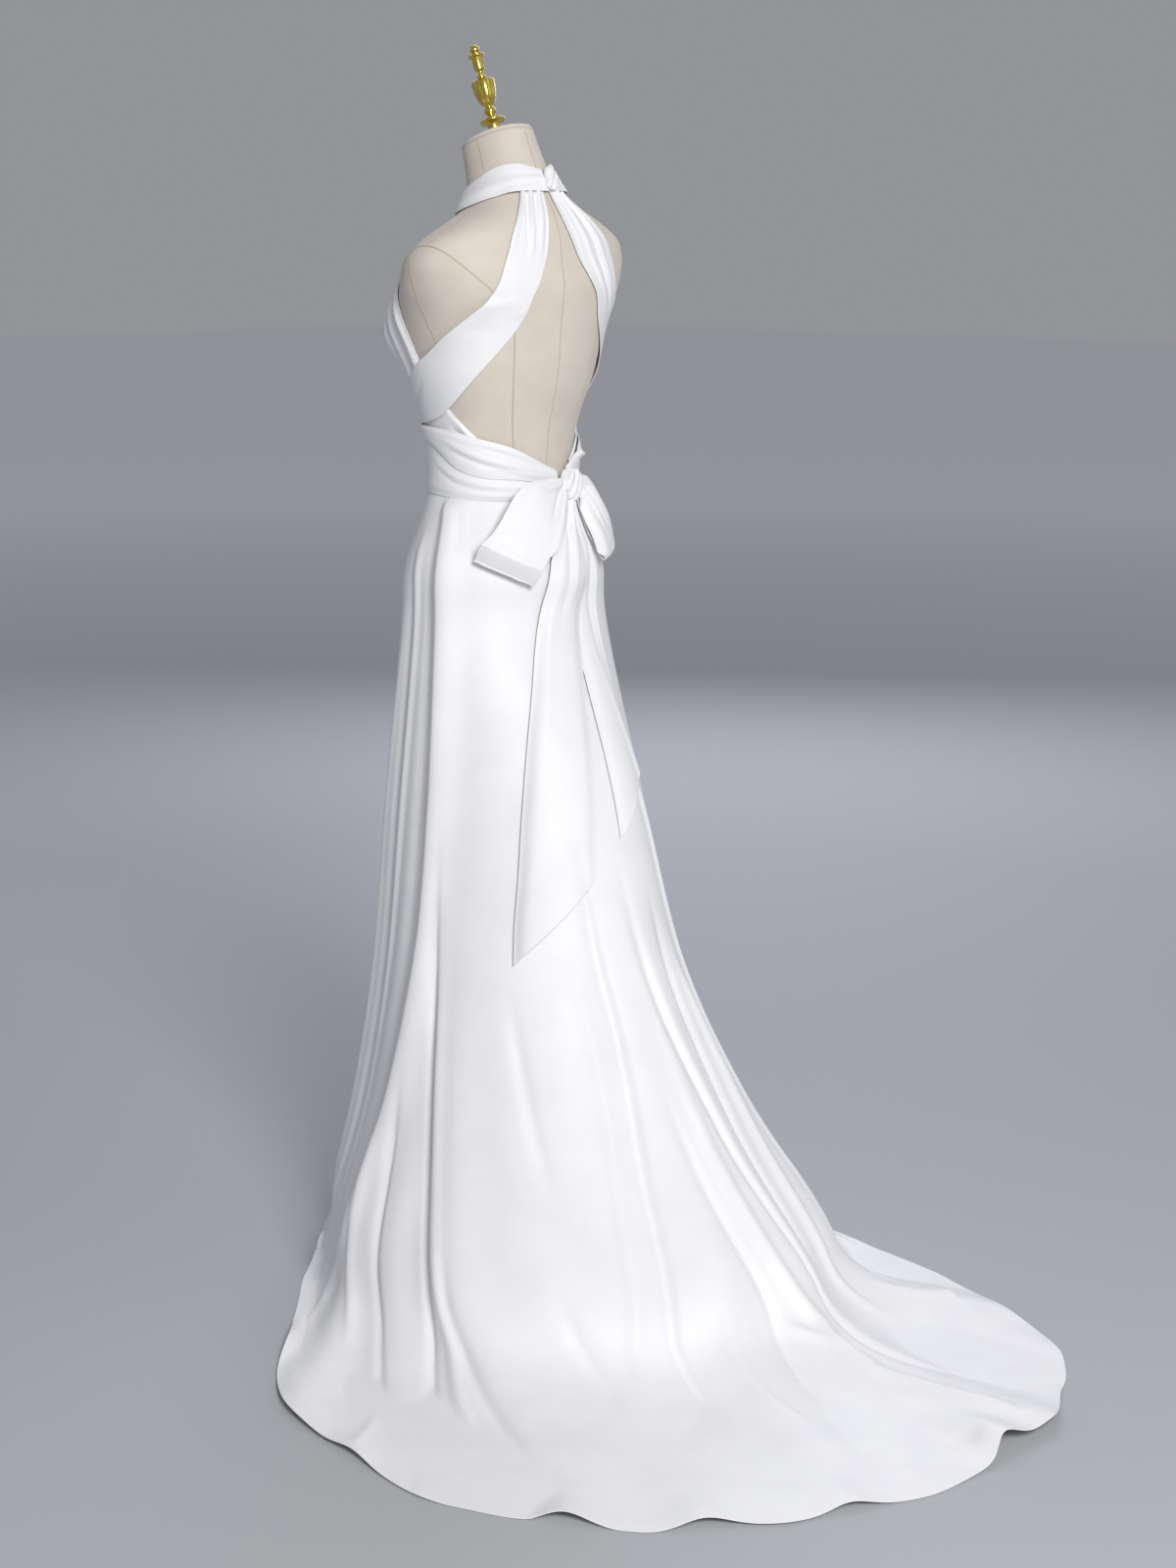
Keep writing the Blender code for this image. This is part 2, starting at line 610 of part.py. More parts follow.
def build_stand(collection):
    bpy.ops.mesh.primitive_cylinder_add(vertices=16, radius=POLE_RADIUS,
                                        depth=TORSO_BOTTOM - BASE_HEIGHT - 2 * PIECE_GAP)
    pole = bpy.context.object
    pole.name = "stand_pole"
    pole.location.z = (TORSO_BOTTOM + BASE_HEIGHT) / 2
    pole.data.materials.append(material("stand_pole", "steel"))
    move_to(pole, collection)
    bpy.ops.mesh.primitive_cylinder_add(vertices=36, radius=BASE_RADIUS, depth=BASE_HEIGHT)
    base = bpy.context.object
    base.name = "stand_base"
    base.location.z = BASE_HEIGHT / 2
    base.data.materials.append(material("stand_base", "steel"))
    edge = base.modifiers.new("edge", "BEVEL")
    edge.width = BASE_EDGE
    edge.segments = 2
    edge.limit_method = "ANGLE"
    move_to(base, collection)


def move_to(made, collection):
    for owner in list(made.users_collection):
        owner.objects.unlink(made)
    collection.objects.link(made)


# The dress above the waist

def build_neckband(collection):
    turns = np.linspace(NECKBAND_START, NECKBAND_START + NECKBAND_TURN, 33)
    rows = []
    for share in (1.0, 0.5, 0.0):
        row = []
        for azimuth in turns:
            lower, upper = NECK_CURVE.at(azimuth)
            level = lower + (upper - lower) * share
            crown = BAND_CROWN * math.sin(math.pi * share)
            row.append(form_point(azimuth, level, NECKBAND_LIFT + crown))
        rows.append(row)
    cloth_wall(loft_object("neckband", rows, "satin", collection))


def soft_knot(name, size, place, turn, collection):
    """Rounded block of folded satin, wider round than deep."""
    bpy.ops.mesh.primitive_cube_add(size=1.0)
    knot = bpy.context.object
    knot.name = name
    knot.scale = size
    bpy.ops.object.transform_apply(location=False, rotation=False, scale=True)
    knot.location = place
    knot.rotation_euler = turn
    knot.data.materials.append(material(name, "satin"))
    soft = knot.modifiers.new("soft", "SUBSURF")
    soft.levels = 2
    soft.render_levels = 2
    move_to(knot, collection)


def build_nape_knot(collection):
    place = form_point(NAPE_AZIMUTH, NAPE_LEVEL, NAPE_LIFT)
    soft_knot("nape_knot", NAPE_SIZE, place, (math.radians(NAPE_TILT_DEG), 0, 0), collection)


def bodice_lift(level):
    """The halter fronts hang straight from the neckband to the cups, a little off the form."""
    rise = min(1.0, max(0.0, (level - CUP_LEVEL) / BODICE_BRIDGE_LENGTH))
    fall = min(1.0, max(0.0, (BODICE_EDGE[0].level - level) / BODICE_BRIDGE_LENGTH))
    return BODICE_LIFT + BODICE_BRIDGE * rise * fall


def bodice_rows():
    bottom = WAIST_SEAM + SEAM_GAP
    rows = []
    for share in BODICE_SHARES:
        row = []
        for azimuth in BODICE_COLUMNS:
            top = BODICE_CURVE.at(azimuth)[0]
            level = bottom + (top - bottom) * share
            row.append(form_point(azimuth, level, bodice_lift(level)))
        rows.append(row)
    return rows


def build_bodice(collection):
    left = bodice_rows()
    cloth_wall(loft_object("bodice_left", left, "satin", collection))
    cloth_wall(loft_object("bodice_right", mirrored(left), "satin", collection))


def strap_point(azimuth, level, lift, share, at):
    """The strap is gathered at the nape in soft pleats that open out downwards."""
    pleat = PLEAT_HEIGHT * max(0.0, 1.0 - at / PLEAT_END) * math.sin(PLEAT_COUNT * math.pi * share) ** 2
    return form_point(azimuth, level, lift + pleat)


def build_straps(collection):
    for side, tops in STRAP_TOPS.items():
        rows = strip_rows(tops + STRAP_ENDS, 4, 30, strap_point)
        if side == "right":
            rows = mirrored(rows)
        cloth_wall(loft_object("back_strap_" + side, rows, "satin", collection))


def build_sash(collection):
    for name, table, lift in (("sash_lower", LOWER_SASH, LOWER_SASH_LIFT),
                              ("sash_upper", UPPER_SASH, UPPER_SASH_LIFT)):
        edges = Curve(table)
        turns = np.linspace(table[0].azimuth, table[-1].azimuth, 41)
        rows = []
        for share in (1.0, 0.66, 0.33, 0.0):
            row = []
            for azimuth in turns:
                lower, upper = edges.at(azimuth)
                level = lower + (upper - lower) * share
                fold = BAND_CROWN * math.sin(math.pi * share)
                row.append(form_point(azimuth, level, lift + fold))
            rows.append(row)
        cloth_wall(loft_object(name, rows, "satin", collection))


# The bow

def ribbon_point(azimuth, level, lift, share, at):
    crown = RIBBON_CROWN * math.sin(math.pi * share)
    return dress_point(azimuth, level, lift + crown)


def build_bow(collection):
    place = dress_point(KNOT_AZIMUTH, KNOT_LEVEL, KNOT_LIFT)
    soft_knot("bow_knot", KNOT_SIZE, place, (0, 0, math.radians(KNOT_AZIMUTH - 180)), collection)
    for name, strips, along in (("bow_loop_left", LEFT_LOOP, 24), ("bow_loop_right", RIGHT_LOOP, 22),
                                ("bow_tail_left", LEFT_TAIL, 20), ("bow_tail_right", RIGHT_TAIL, 14)):
        rows = strip_rows(strips, 4, along, ribbon_point)
        cloth_wall(loft_object(name, rows, "satin", collection))


# The skirt

def panel_row(start, end, steps, run):
    """Points across one panel, drawn back a little from the seams at both its edges."""
    row = [skirt_point(start + (end - start) * step / steps, run) for step in range(steps + 1)]
    first, last = row[0], row[-1]
    row[0] = first + (row[1] - first).normalized() * SEAM_HALF_GAP
    row[-1] = last + (row[-2] - last).normalized() * SEAM_HALF_GAP
    return row


def build_skirt(collection):
    for name, start, end, pitch in (("skirt_front", -SIDE_SEAM, SIDE_SEAM, FRONT_STEP_DEG),
                                    ("skirt_back_left", SIDE_SEAM, 180.0, SKIRT_STEP_DEG),
                                    ("skirt_back_right", 180.0, 360.0 - SIDE_SEAM, SKIRT_STEP_DEG)):
        steps = round((end - start) / pitch)
        rows = [panel_row(start, end, steps, run) for run in SKIRT_RUNS]
        cloth_wall(loft_object(name, rows, "satin", collection))


def main():
    clear_scene()
    collection = make_collection(PARTS_COLLECTION)
    build_form(collection)
    build_finial(collection)
    build_stand(collection)
    build_neckband(collection)
    build_nape_knot(collection)
    build_bodice(collection)
    build_straps(collection)
    build_sash(collection)
    build_bow(collection)
    build_skirt(collection)


main()
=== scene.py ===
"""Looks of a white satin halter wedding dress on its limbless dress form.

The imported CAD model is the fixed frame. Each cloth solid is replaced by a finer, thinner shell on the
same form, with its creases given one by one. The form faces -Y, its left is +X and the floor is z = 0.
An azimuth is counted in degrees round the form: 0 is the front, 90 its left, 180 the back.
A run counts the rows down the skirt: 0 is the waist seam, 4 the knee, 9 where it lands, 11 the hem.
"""
import logging
import math
from dataclasses import dataclass, field
from enum import Enum
from typing import Callable, Sequence

import bpy
import numpy as np
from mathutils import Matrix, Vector

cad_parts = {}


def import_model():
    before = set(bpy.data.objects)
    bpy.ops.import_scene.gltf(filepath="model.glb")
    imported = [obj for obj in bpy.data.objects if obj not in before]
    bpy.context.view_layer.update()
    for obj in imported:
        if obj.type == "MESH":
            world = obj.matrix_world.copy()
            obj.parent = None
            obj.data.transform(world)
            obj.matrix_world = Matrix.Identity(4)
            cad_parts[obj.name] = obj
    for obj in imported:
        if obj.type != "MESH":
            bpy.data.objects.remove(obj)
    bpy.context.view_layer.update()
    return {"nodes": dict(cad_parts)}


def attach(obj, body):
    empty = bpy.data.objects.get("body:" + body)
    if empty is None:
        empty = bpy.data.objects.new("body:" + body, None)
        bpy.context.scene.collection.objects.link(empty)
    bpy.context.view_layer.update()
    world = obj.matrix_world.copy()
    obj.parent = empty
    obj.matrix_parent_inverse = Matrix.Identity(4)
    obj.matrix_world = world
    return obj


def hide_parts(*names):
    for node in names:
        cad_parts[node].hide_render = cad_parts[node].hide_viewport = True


LOG = logging.getLogger("wedding_dress")

MM = 0.001
# Levels, gaps and walls in metres, the same as in the solids
FLOOR_LEVEL = 0.0002
WAIST_SEAM = 1.134
SEAM_GAP = 0.0004
SEAM_HALF_GAP = 0.00025
CLOTH_WALL = 0.0015
# Thickness of the satin, and how far in from an edge the line lies that keeps it crisp
SHELL = 0.0011
EDGE_INSET = 0.0007
HEM_RUN = 11.0
# Half steps over which the slopes of a surface are measured: degrees, then metres or runs
TURN_STEP = 0.5
RISE_STEP = 0.004
# Half widths of a fold beyond which it isn't felt
FOLD_REACH = 3

Rows = Sequence[Sequence[float]]


class Side(Enum):
    """Side of the form that a paired piece lies on."""

    LEFT = 1
    RIGHT = -1


class Held(Enum):
    """How a sheet of cloth is held on the form."""

    DRAPED = "draped"
    HUNG = "hung"
    GATHERED = "gathered"
    FOLDED = "folded"
    STRETCHED = "stretched"


# Interpolation and folds


@dataclass(frozen=True)
class Curve:
    """Smooth curve through the rows of a table: its first column, then the values there."""

    knots: np.ndarray
    values: np.ndarray
    slopes: np.ndarray

    @classmethod
    def through(cls, rows: Rows, turning: bool = False) -> "Curve":
        """Makes the curve through a table.

        Args:
            rows: the table, one row for each place.
            turning: True where the first column is an azimuth that repeats every turn.

        Returns:
            The curve.
        """
        table = np.array(rows, dtype=float)
        if turning:
            turn = np.zeros(table.shape[1])
            turn[0] = 360.0
            table = np.vstack([table - turn, table, table + turn])
        return cls(table[:, 0], table[:, 1:], np.gradient(table[:, 1:], table[:, 0], axis=0))

    def at(self, place: np.ndarray) -> np.ndarray:
        """Values of the curve.

        Args:
            place: places along the first column, in an array of any shape.

        Returns:
            An array with one more axis, which holds the values at each place.
        """
        place = np.clip(np.asarray(place, dtype=float), self.knots[0], self.knots[-1])
        index = np.clip(np.searchsorted(self.knots, place) - 1, 0, len(self.knots) - 2)
        span = (self.knots[index + 1] - self.knots[index])[..., None]
        t = (place - self.knots[index])[..., None] / span
        return hermite(t, span, self.values[index], self.slopes[index],
                       self.values[index + 1], self.slopes[index + 1])


def hermite(t: np.ndarray, span: np.ndarray | float, start: np.ndarray, leave: np.ndarray,
            end: np.ndarray, arrive: np.ndarray) -> np.ndarray:
    """Cubic between two values with given slopes.

    Args:
        t: share of the way, from 0 to 1.
        span: length of the way in the units of the slopes.
        start: value at 0.
        leave: slope at 0.
        end: value at 1.
        arrive: slope at 1.

    Returns:
        The values at t.
    """
    return ((1 + 2 * t) * (1 - t) ** 2 * start + t * (1 - t) ** 2 * span * leave
            + t * t * (3 - 2 * t) * end + t * t * (t - 1) * span * arrive)


def eased(points: Rows, count: int) -> np.ndarray:
    """Places along a smooth line through points.

    Args:
        points: the points, each of two or more measures.
        count: number of places.

    Returns:
        One row for each place, evenly spaced by the points' numbers.
    """
    rows = [(index, *point) for index, point in enumerate(points)]
    return Curve.through(rows).at(np.linspace(0, len(points) - 1, count))


def smooth_step(value: np.ndarray) -> np.ndarray:
    """Eases from 0 to 1 as the value goes from 0 to 1."""
    value = np.clip(value, 0.0, 1.0)
    return value * value * (3 - 2 * value)


def angle_between(first: np.ndarray, second: np.ndarray | float) -> np.ndarray:
    """Turn from the second azimuth to the first, from -180 to 180 degrees."""
    return (first - second + 180) % 360 - 180


def bell(offset: np.ndarray, width: np.ndarray | float) -> np.ndarray:
    """Rounded hump of height 1 at offset 0."""
    return np.exp(-(offset / width) ** 2)


def length(vectors: np.ndarray) -> np.ndarray:
    """Lengths of the vectors along the last axis."""
    return np.linalg.norm(vectors, axis=-1)


def unit(vectors: np.ndarray) -> np.ndarray:
    """The vectors along the last axis, made one metre long."""
    return vectors / np.maximum(length(vectors), 1e-12)[..., None]


def steps_over(raw: Callable[[np.ndarray, np.ndarray], np.ndarray], first: np.ndarray,
               second: np.ndarray) -> tuple[np.ndarray, np.ndarray]:
    """Vectors over a surface for one unit of each of its measures.

    Args:
        raw: gives the surface's points.
        first: first measure at each place, in degrees.
        second: second measure at each place.

    Returns:
        The vectors for the first measure, then those for the second.
    """
    turn = raw(first + TURN_STEP, second) - raw(first - TURN_STEP, second)
    rise = raw(first, second + RISE_STEP) - raw(first, second - RISE_STEP)
    return turn / (2 * TURN_STEP), rise / (2 * RISE_STEP)


@dataclass(frozen=True)
class Crease:
    """One soft fold, given one by one.

    Attributes:
        path: places that it runs through, in the two measures of its surface.
        height: millimetres that it stands out, below 0 for a trough.
        width: half width in millimetres.
        fade: shares of its length over which it rises at its start and dies at its end.
        lean: how much wider it is on one side than on the other, from -1 to 1.
    """

    path: tuple[tuple[float, float], ...]
    height: float
    width: float
    fade: tuple[float, float] = (0.35, 0.35)
    lean: float = 0.0

    def relief(self, first: np.ndarray, second: np.ndarray, first_scale: np.ndarray,
               second_scale: np.ndarray) -> np.ndarray:
        """Height of the fold over a grid.

        Args:
            first: first measure at each point, such as the azimuth.
            second: second measure at each point, such as the run or level.
            first_scale: metres for one unit of the first measure.
            second_scale: metres for one unit of the second measure.

        Returns:
            Metres out from the surface at each point.
        """
        line = self.line()
        reach = FOLD_REACH * self.width * MM
        near = np.ones(first.shape, dtype=bool)
        for measure, scale, along in ((first, first_scale, line[:, 0]),
                                      (second, second_scale, line[:, 1])):
            near &= (measure > along.min() - reach / scale) & (measure < along.max() + reach / scale)
        total = np.zeros(first.shape)
        if not near.any():
            return total
        places = np.stack([first[near], second[near]], axis=-1)
        scales = np.stack([first_scale[near], second_scale[near]], axis=-1)
        nearest = np.full(len(places), np.inf)
        share = np.zeros(len(places))
        side = np.zeros(len(places))
        count = len(line) - 1
        for index in range(count):
            step = (line[index + 1] - line[index]) * scales
            away = (places - line[index]) * scales
            t = np.clip((away * step).sum(axis=-1) / (step ** 2).sum(axis=-1), 0, 1)
            distance = length(away - t[:, None] * step)
            closer = distance < nearest
            nearest = np.where(closer, distance, nearest)
            share = np.where(closer, (index + t) / count, share)
            across = np.sign(step[:, 0] * away[:, 1] - step[:, 1] * away[:, 0])
            side = np.where(closer, across, side)
        rise = smooth_step(share / self.fade[0]) if self.fade[0] else 1.0
        fall = smooth_step((1 - share) / self.fade[1]) if self.fade[1] else 1.0
        width = self.width * MM * (1 + self.lean * side / 2)
        total[near] = self.height * MM * rise * fall * bell(nearest, width)
        return total

    def line(self) -> np.ndarray:
        """Places along the fold, eased through its own points."""
        return eased(self.path, 3 * len(self.path) - 2)


def relief_of(creases: Sequence[Crease], first: np.ndarray, second: np.ndarray,
              first_scale: np.ndarray, second_scale: np.ndarray) -> np.ndarray:
    """Sum of the heights of several folds over a grid.

    Args:
        creases: the folds.
        first: first measure at each point.
        second: second measure at each point.
        first_scale: metres for one unit of the first measure.
        second_scale: metres for one unit of the second measure.

    Returns:
        Metres out from the surface at each point.
    """
    return sum((crease.relief(first, second, first_scale, second_scale) for crease in creases),
               np.zeros(first.shape))


# Surfaces that the cloth lies on


@dataclass(frozen=True)
class FormSurface:
    """Padded limbless form: rows of level, half width, front, back, centre and slope."""

    sections: tuple[tuple[float, ...], ...] = (
        (0.900, 0.148, 0.110, 0.112, 0.000, 0.00),
        (0.960, 0.156, 0.116, 0.119, 0.000, 0.00),
        (1.020, 0.153, 0.116, 0.120, 0.000, 0.00),
        (1.090, 0.131, 0.098, 0.099, 0.000, 0.00),
        (1.160, 0.113, 0.086, 0.084, 0.000, 0.00),
        (1.223, 0.119, 0.092, 0.091, 0.000, 0.00),
        (1.300, 0.144, 0.108, 0.112, 0.002, 0.00),
        (1.380, 0.168, 0.118, 0.120, 0.006, 0.00),
        (1.430, 0.189, 0.108, 0.114, 0.018, 0.00),
        (1.465, 0.194, 0.094, 0.098, 0.028, 0.00),
        (1.490, 0.178, 0.080, 0.084, 0.038, 0.04),
        (1.512, 0.139, 0.070, 0.074, 0.038, 0.10),
        (1.535, 0.088, 0.064, 0.067, 0.026, 0.20),
        (1.560, 0.062, 0.059, 0.060, 0.017, 0.28),
        (1.590, 0.053, 0.055, 0.055, 0.007, 0.33),
        (1.640, 0.047, 0.051, 0.051, -0.011, 0.36),
    )
    roundness: float = 0.94
    cup_azimuth: float = 33.0
    cup_level: float = 1.352
    cup_height: float = 0.036
    cup_spread: float = 20.0
    cup_spread_up: float = 0.047
    curve: Curve = field(init=False)

    def __post_init__(self) -> None:
        """Makes the curve through the sections."""
        object.__setattr__(self, "curve", Curve.through(self.sections))

    def raw(self, azimuth: np.ndarray, level: np.ndarray) -> np.ndarray:
        """Points of the bare form.

        Args:
            azimuth: degrees round the form.
            level: height in metres, in an array of the same shape.

        Returns:
            Points in an array with one more axis.
        """
        half_width, front, back, centre, slope = np.moveaxis(self.curve.at(level), -1, 0)
        turn = np.radians(azimuth)
        sine, cosine = np.sin(turn), np.cos(turn)
        side = np.sign(sine) * np.abs(sine) ** self.roundness
        ahead = np.sign(cosine) * np.abs(cosine) ** self.roundness
        cup = sum(bell(angle_between(azimuth, middle), self.cup_spread)
                  for middle in (self.cup_azimuth, -self.cup_azimuth))
        cup = cup * bell(level - self.cup_level, self.cup_spread_up) * self.cup_height
        x = half_width * side + cup * sine
        y = -np.where(ahead > 0, front, back) * ahead - cup * cosine
        return np.stack([x, centre + y, level + slope * y], axis=-1)

    def normal(self, azimuth: np.ndarray, level: np.ndarray) -> np.ndarray:
        """Outward normals of the form at the same places as raw."""
        return unit(np.cross(*steps_over(self.raw, azimuth, level)))

    def point(self, azimuth: np.ndarray, level: np.ndarray, lift: np.ndarray | float) -> np.ndarray:
        """Points at a distance off the form.

        Args:
            azimuth: degrees round the form.
            level: height in metres.
            lift: metres out from the form.

        Returns:
            Points in an array with one more axis.
        """
        lift = np.broadcast_to(lift, azimuth.shape)[..., None]
        return self.raw(azimuth, level) + self.normal(azimuth, level) * lift

    def scales(self, azimuth: np.ndarray, level: np.ndarray) -> tuple[np.ndarray, np.ndarray]:
        """Metres for one degree of azimuth, and for one metre of level, over the form."""
        turn, rise = steps_over(self.raw, azimuth, level)
        return length(turn), length(rise)


@dataclass(frozen=True)
class SkirtSurface:
    """Fitted skirt that flares from the knee into a train.

    Attributes:
        form: the form under it.
        creases: the finer folds, by azimuth and run.
        waves: the waves of the hem.
        wave_runs: runs above the hem over which a wave dies.
        lift: metres from the form to the outer face, where the skirt is fitted.
        overlap: degrees by which the smooth lines go on past a whole turn.
        end_margin: runs at both ends in which the slopes next to them are used.
        halvings: number of times that the search for a level is halved.
        grow_runs: runs over which a large fold grows.
        grow_power: how slowly it starts to grow.
        sections: azimuth, then the radius at four levels, where it touches the floor and at the hem.
        levels: heights of the first four radii.
        fitted: height and ease of the rows that follow the form.
        landing: the rows on the floor: the radius that each starts from, its share of the way to the
            next one, and its height.
        folds: top azimuth, hem azimuth, top run, end run, height and width of the largest folds.
        meridians: the smooth lines from the waist seam to the hem.
    """

    form: FormSurface
    creases: tuple[Crease, ...]
    waves: tuple["HemWave", ...]
    wave_runs: float = 1.1
    lift: float = 0.0024
    overlap: float = 20.0
    end_margin: float = 0.01
    halvings: int = 18
    grow_runs: float = 2.2
    grow_power: float = 1.5
    sections: tuple[tuple[float, ...], ...] = (
        (0, 0.150, 0.176, 0.206, 0.236, 0.250, 0.262),
        (43, 0.170, 0.196, 0.226, 0.254, 0.270, 0.286),
        (80, 0.192, 0.218, 0.255, 0.298, 0.325, 0.365),
        (98, 0.197, 0.238, 0.295, 0.370, 0.430, 0.510),
        (107, 0.202, 0.252, 0.330, 0.430, 0.505, 0.660),
        (119, 0.210, 0.275, 0.372, 0.490, 0.585, 0.810),
        (134, 0.220, 0.298, 0.415, 0.550, 0.665, 0.965),
        (150, 0.230, 0.318, 0.450, 0.600, 0.720, 1.034),
        (170, 0.236, 0.328, 0.462, 0.605, 0.725, 1.045),
        (189, 0.232, 0.308, 0.422, 0.540, 0.640, 0.925),
        (205, 0.210, 0.274, 0.364, 0.454, 0.530, 0.650),
        (223, 0.201, 0.250, 0.316, 0.374, 0.405, 0.425),
        (250, 0.194, 0.230, 0.276, 0.318, 0.344, 0.368),
        (280, 0.190, 0.216, 0.252, 0.292, 0.316, 0.338),
        (317, 0.172, 0.196, 0.226, 0.254, 0.270, 0.284),
    )
    levels: tuple[float, ...] = (0.70, 0.45, 0.25, 0.11)
    fitted: tuple[tuple[float, float], ...] = (
        (WAIST_SEAM - SEAM_GAP, 0.0000), (1.085, 0.0014), (1.020, 0.0045), (0.935, 0.0120))
    landing: tuple[tuple[int, float, float], ...] = (
        (3, 0.55, 0.038), (4, 0.16, 0.0065), (4, 0.55, 0.0), (4, 1.0, 0.0))
    folds: tuple[tuple[float, ...], ...] = (
        (109, 136, 4.2, 10.4, -0.014, 5.0),
        (117, 141, 4.6, 9.6, 0.013, 6.5),
        (103, 121, 5.2, 9.4, -0.008, 4.5),
        (97, 113, 4.6, 10.6, 0.010, 5.5),
        (125, 139, 7.0, 10.2, -0.007, 4.0),
        (133, 146, 4.6, 6.6, 0.005, 5.0),
        (160, 154, 4.0, 8.6, -0.009, 4.5),
        (152, 158, 5.8, 9.6, -0.007, 4.5),
        (164, 160, 4.6, 9.8, 0.010, 5.0),
        (168, 166, 5.6, 10.0, -0.009, 4.5),
        (176, 176, 4.2, 10.9, 0.012, 5.5),
        (184, 184, 4.8, 10.4, -0.010, 5.0),
        (192, 196, 4.4, 10.2, 0.011, 5.0),
        (202, 205, 4.6, 10.4, -0.010, 5.0),
        (212, 214, 4.4, 10.0, 0.010, 6.0),
        (224, 226, 5.0, 10.6, -0.009, 7.0),
        (240, 244, 4.6, 10.9, 0.010, 8.0),
        (262, 266, 5.0, 10.9, -0.008, 8.0),
        (292, 296, 5.2, 10.9, 0.008, 9.0),
        (338, 336, 5.4, 10.9, 0.007, 9.0),
        (24, 26, 5.4, 10.9, 0.007, 9.0),
        (70, 66, 5.0, 10.9, 0.009, 8.0),
    )
    meridians: Curve = field(init=False)

    def __post_init__(self) -> None:
        """Makes the smooth lines from the waist seam to the hem, one for each degree."""
        azimuth = np.arange(-self.overlap, 361.0 + self.overlap)
        radii = Curve.through(self.sections, turning=True).at(azimuth % 360)
        turn = np.radians(azimuth)
        outward = np.stack([np.sin(turn), -np.cos(turn), np.zeros(turn.shape)], axis=-1)
        rows = []
        for level, ease in self.fitted:
            rows.append(self.form.point(azimuth, np.full(azimuth.shape, level), self.lift + ease))
        for column, level in enumerate(self.levels):
            rows.append(outward * radii[:, column, None] + np.array((0, 0, level)))
        for column, share, height in self.landing:
            start, end = radii[:, column, None], radii[:, column + 1, None]
            floor = np.array((0, 0, FLOOR_LEVEL + CLOTH_WALL + height))
            rows.append(outward * (start + (end - start) * share) + floor)
        table = np.stack(rows, axis=1).reshape(len(azimuth), -1)
        object.__setattr__(self, "meridians", Curve.through(np.hstack([azimuth[:, None], table])))

    def raw(self, azimuth: np.ndarray, run: np.ndarray) -> np.ndarray:
        """Points of the smooth skirt, before its folds.

        Args:
            azimuth: degrees round the form.
            run: rows down the skirt, in an array of the same shape.

        Returns:
            Points in an array with one more axis.
        """
        within = (azimuth + self.overlap) % 360 - self.overlap
        lines = self.meridians.at(within).reshape(*azimuth.shape, -1, 3)
        slopes = np.gradient(lines, axis=-2)
        index = np.clip(np.floor(run).astype(int), 0, lines.shape[-2] - 2)
        t = (np.clip(run, 0, HEM_RUN) - index)[..., None]
        parts = []
        for grid, step in ((lines, 0), (slopes, 0), (lines, 1), (slopes, 1)):
            taken = np.take_along_axis(grid, (index + step)[..., None, None], axis=-2)
            parts.append(taken[..., 0, :])
        place = hermite(t, 1.0, *parts)
        place[..., 2] = np.maximum(place[..., 2], FLOOR_LEVEL + CLOTH_WALL)
        return place

    def steps(self, azimuth: np.ndarray, run: np.ndarray) -> tuple[np.ndarray, np.ndarray]:
        """Vectors along the skirt for one degree of azimuth and for one run."""
        inner = np.clip(run, self.end_margin, HEM_RUN - self.end_margin)
        return steps_over(self.raw, azimuth, inner)

    def main_folds(self, azimuth: np.ndarray, run: np.ndarray) -> np.ndarray:
        """Height of the largest folds, which the solids have too.

        Args:
            azimuth: degrees round the form.
            run: rows down the skirt.

        Returns:
            Metres out from the smooth skirt.
        """
        total = np.zeros(azimuth.shape)
        for top_azimuth, hem_azimuth, top_run, end_run, height, width in self.folds:
            share = (run - top_run) / (HEM_RUN - top_run)
            middle = top_azimuth + (hem_azimuth - top_azimuth) * share
            grow = np.clip((run - top_run) / self.grow_runs, 0, 1) ** self.grow_power
            fade = np.clip(end_run + 1 - run, 0, 1)
            total += height * grow * fade * bell(angle_between(azimuth, middle), width)
        return total

    def point(self, azimuth: np.ndarray, run: np.ndarray, lift: np.ndarray | float = 0.0) -> np.ndarray:
        """Points of the folded skirt.

        Args:
            azimuth: degrees round the form.
            run: rows down the skirt.
            lift: metres out from the folded skirt.

        Returns:
            Points in an array with one more axis.
        """
        turn, rise = self.steps(azimuth, run)
        height = self.main_folds(azimuth, run) + lift
        height = height + relief_of(self.creases, azimuth, run, length(turn), length(rise))
        place = self.raw(azimuth, run) - unit(np.cross(turn, rise)) * height[..., None]
        near_hem = smooth_step(1 - (HEM_RUN - run) / self.wave_runs)
        for wave in self.waves:
            share = near_hem * bell(angle_between(azimuth, wave.azimuth), wave.spread) * MM
            place[..., 2] += share * wave.rise
            place[..., :2] -= unit(rise)[..., :2] * (share * wave.draw)[..., None]
        place[..., 2] = np.maximum(place[..., 2], FLOOR_LEVEL + CLOTH_WALL)
        return place

    def run_at(self, azimuth: np.ndarray, level: np.ndarray) -> np.ndarray:
        """Finds the runs at which the smooth skirt reaches some levels.

        Args:
            azimuth: degrees round the form.
            level: heights in metres.

        Returns:
            The runs.
        """
        low, high = np.zeros(level.shape), np.full(level.shape, HEM_RUN)
        for _ in range(self.halvings):
            middle = (low + high) / 2
            above = self.raw(azimuth, middle)[..., 2] > level
            low, high = np.where(above, middle, low), np.where(above, high, middle)
        return (low + high) / 2


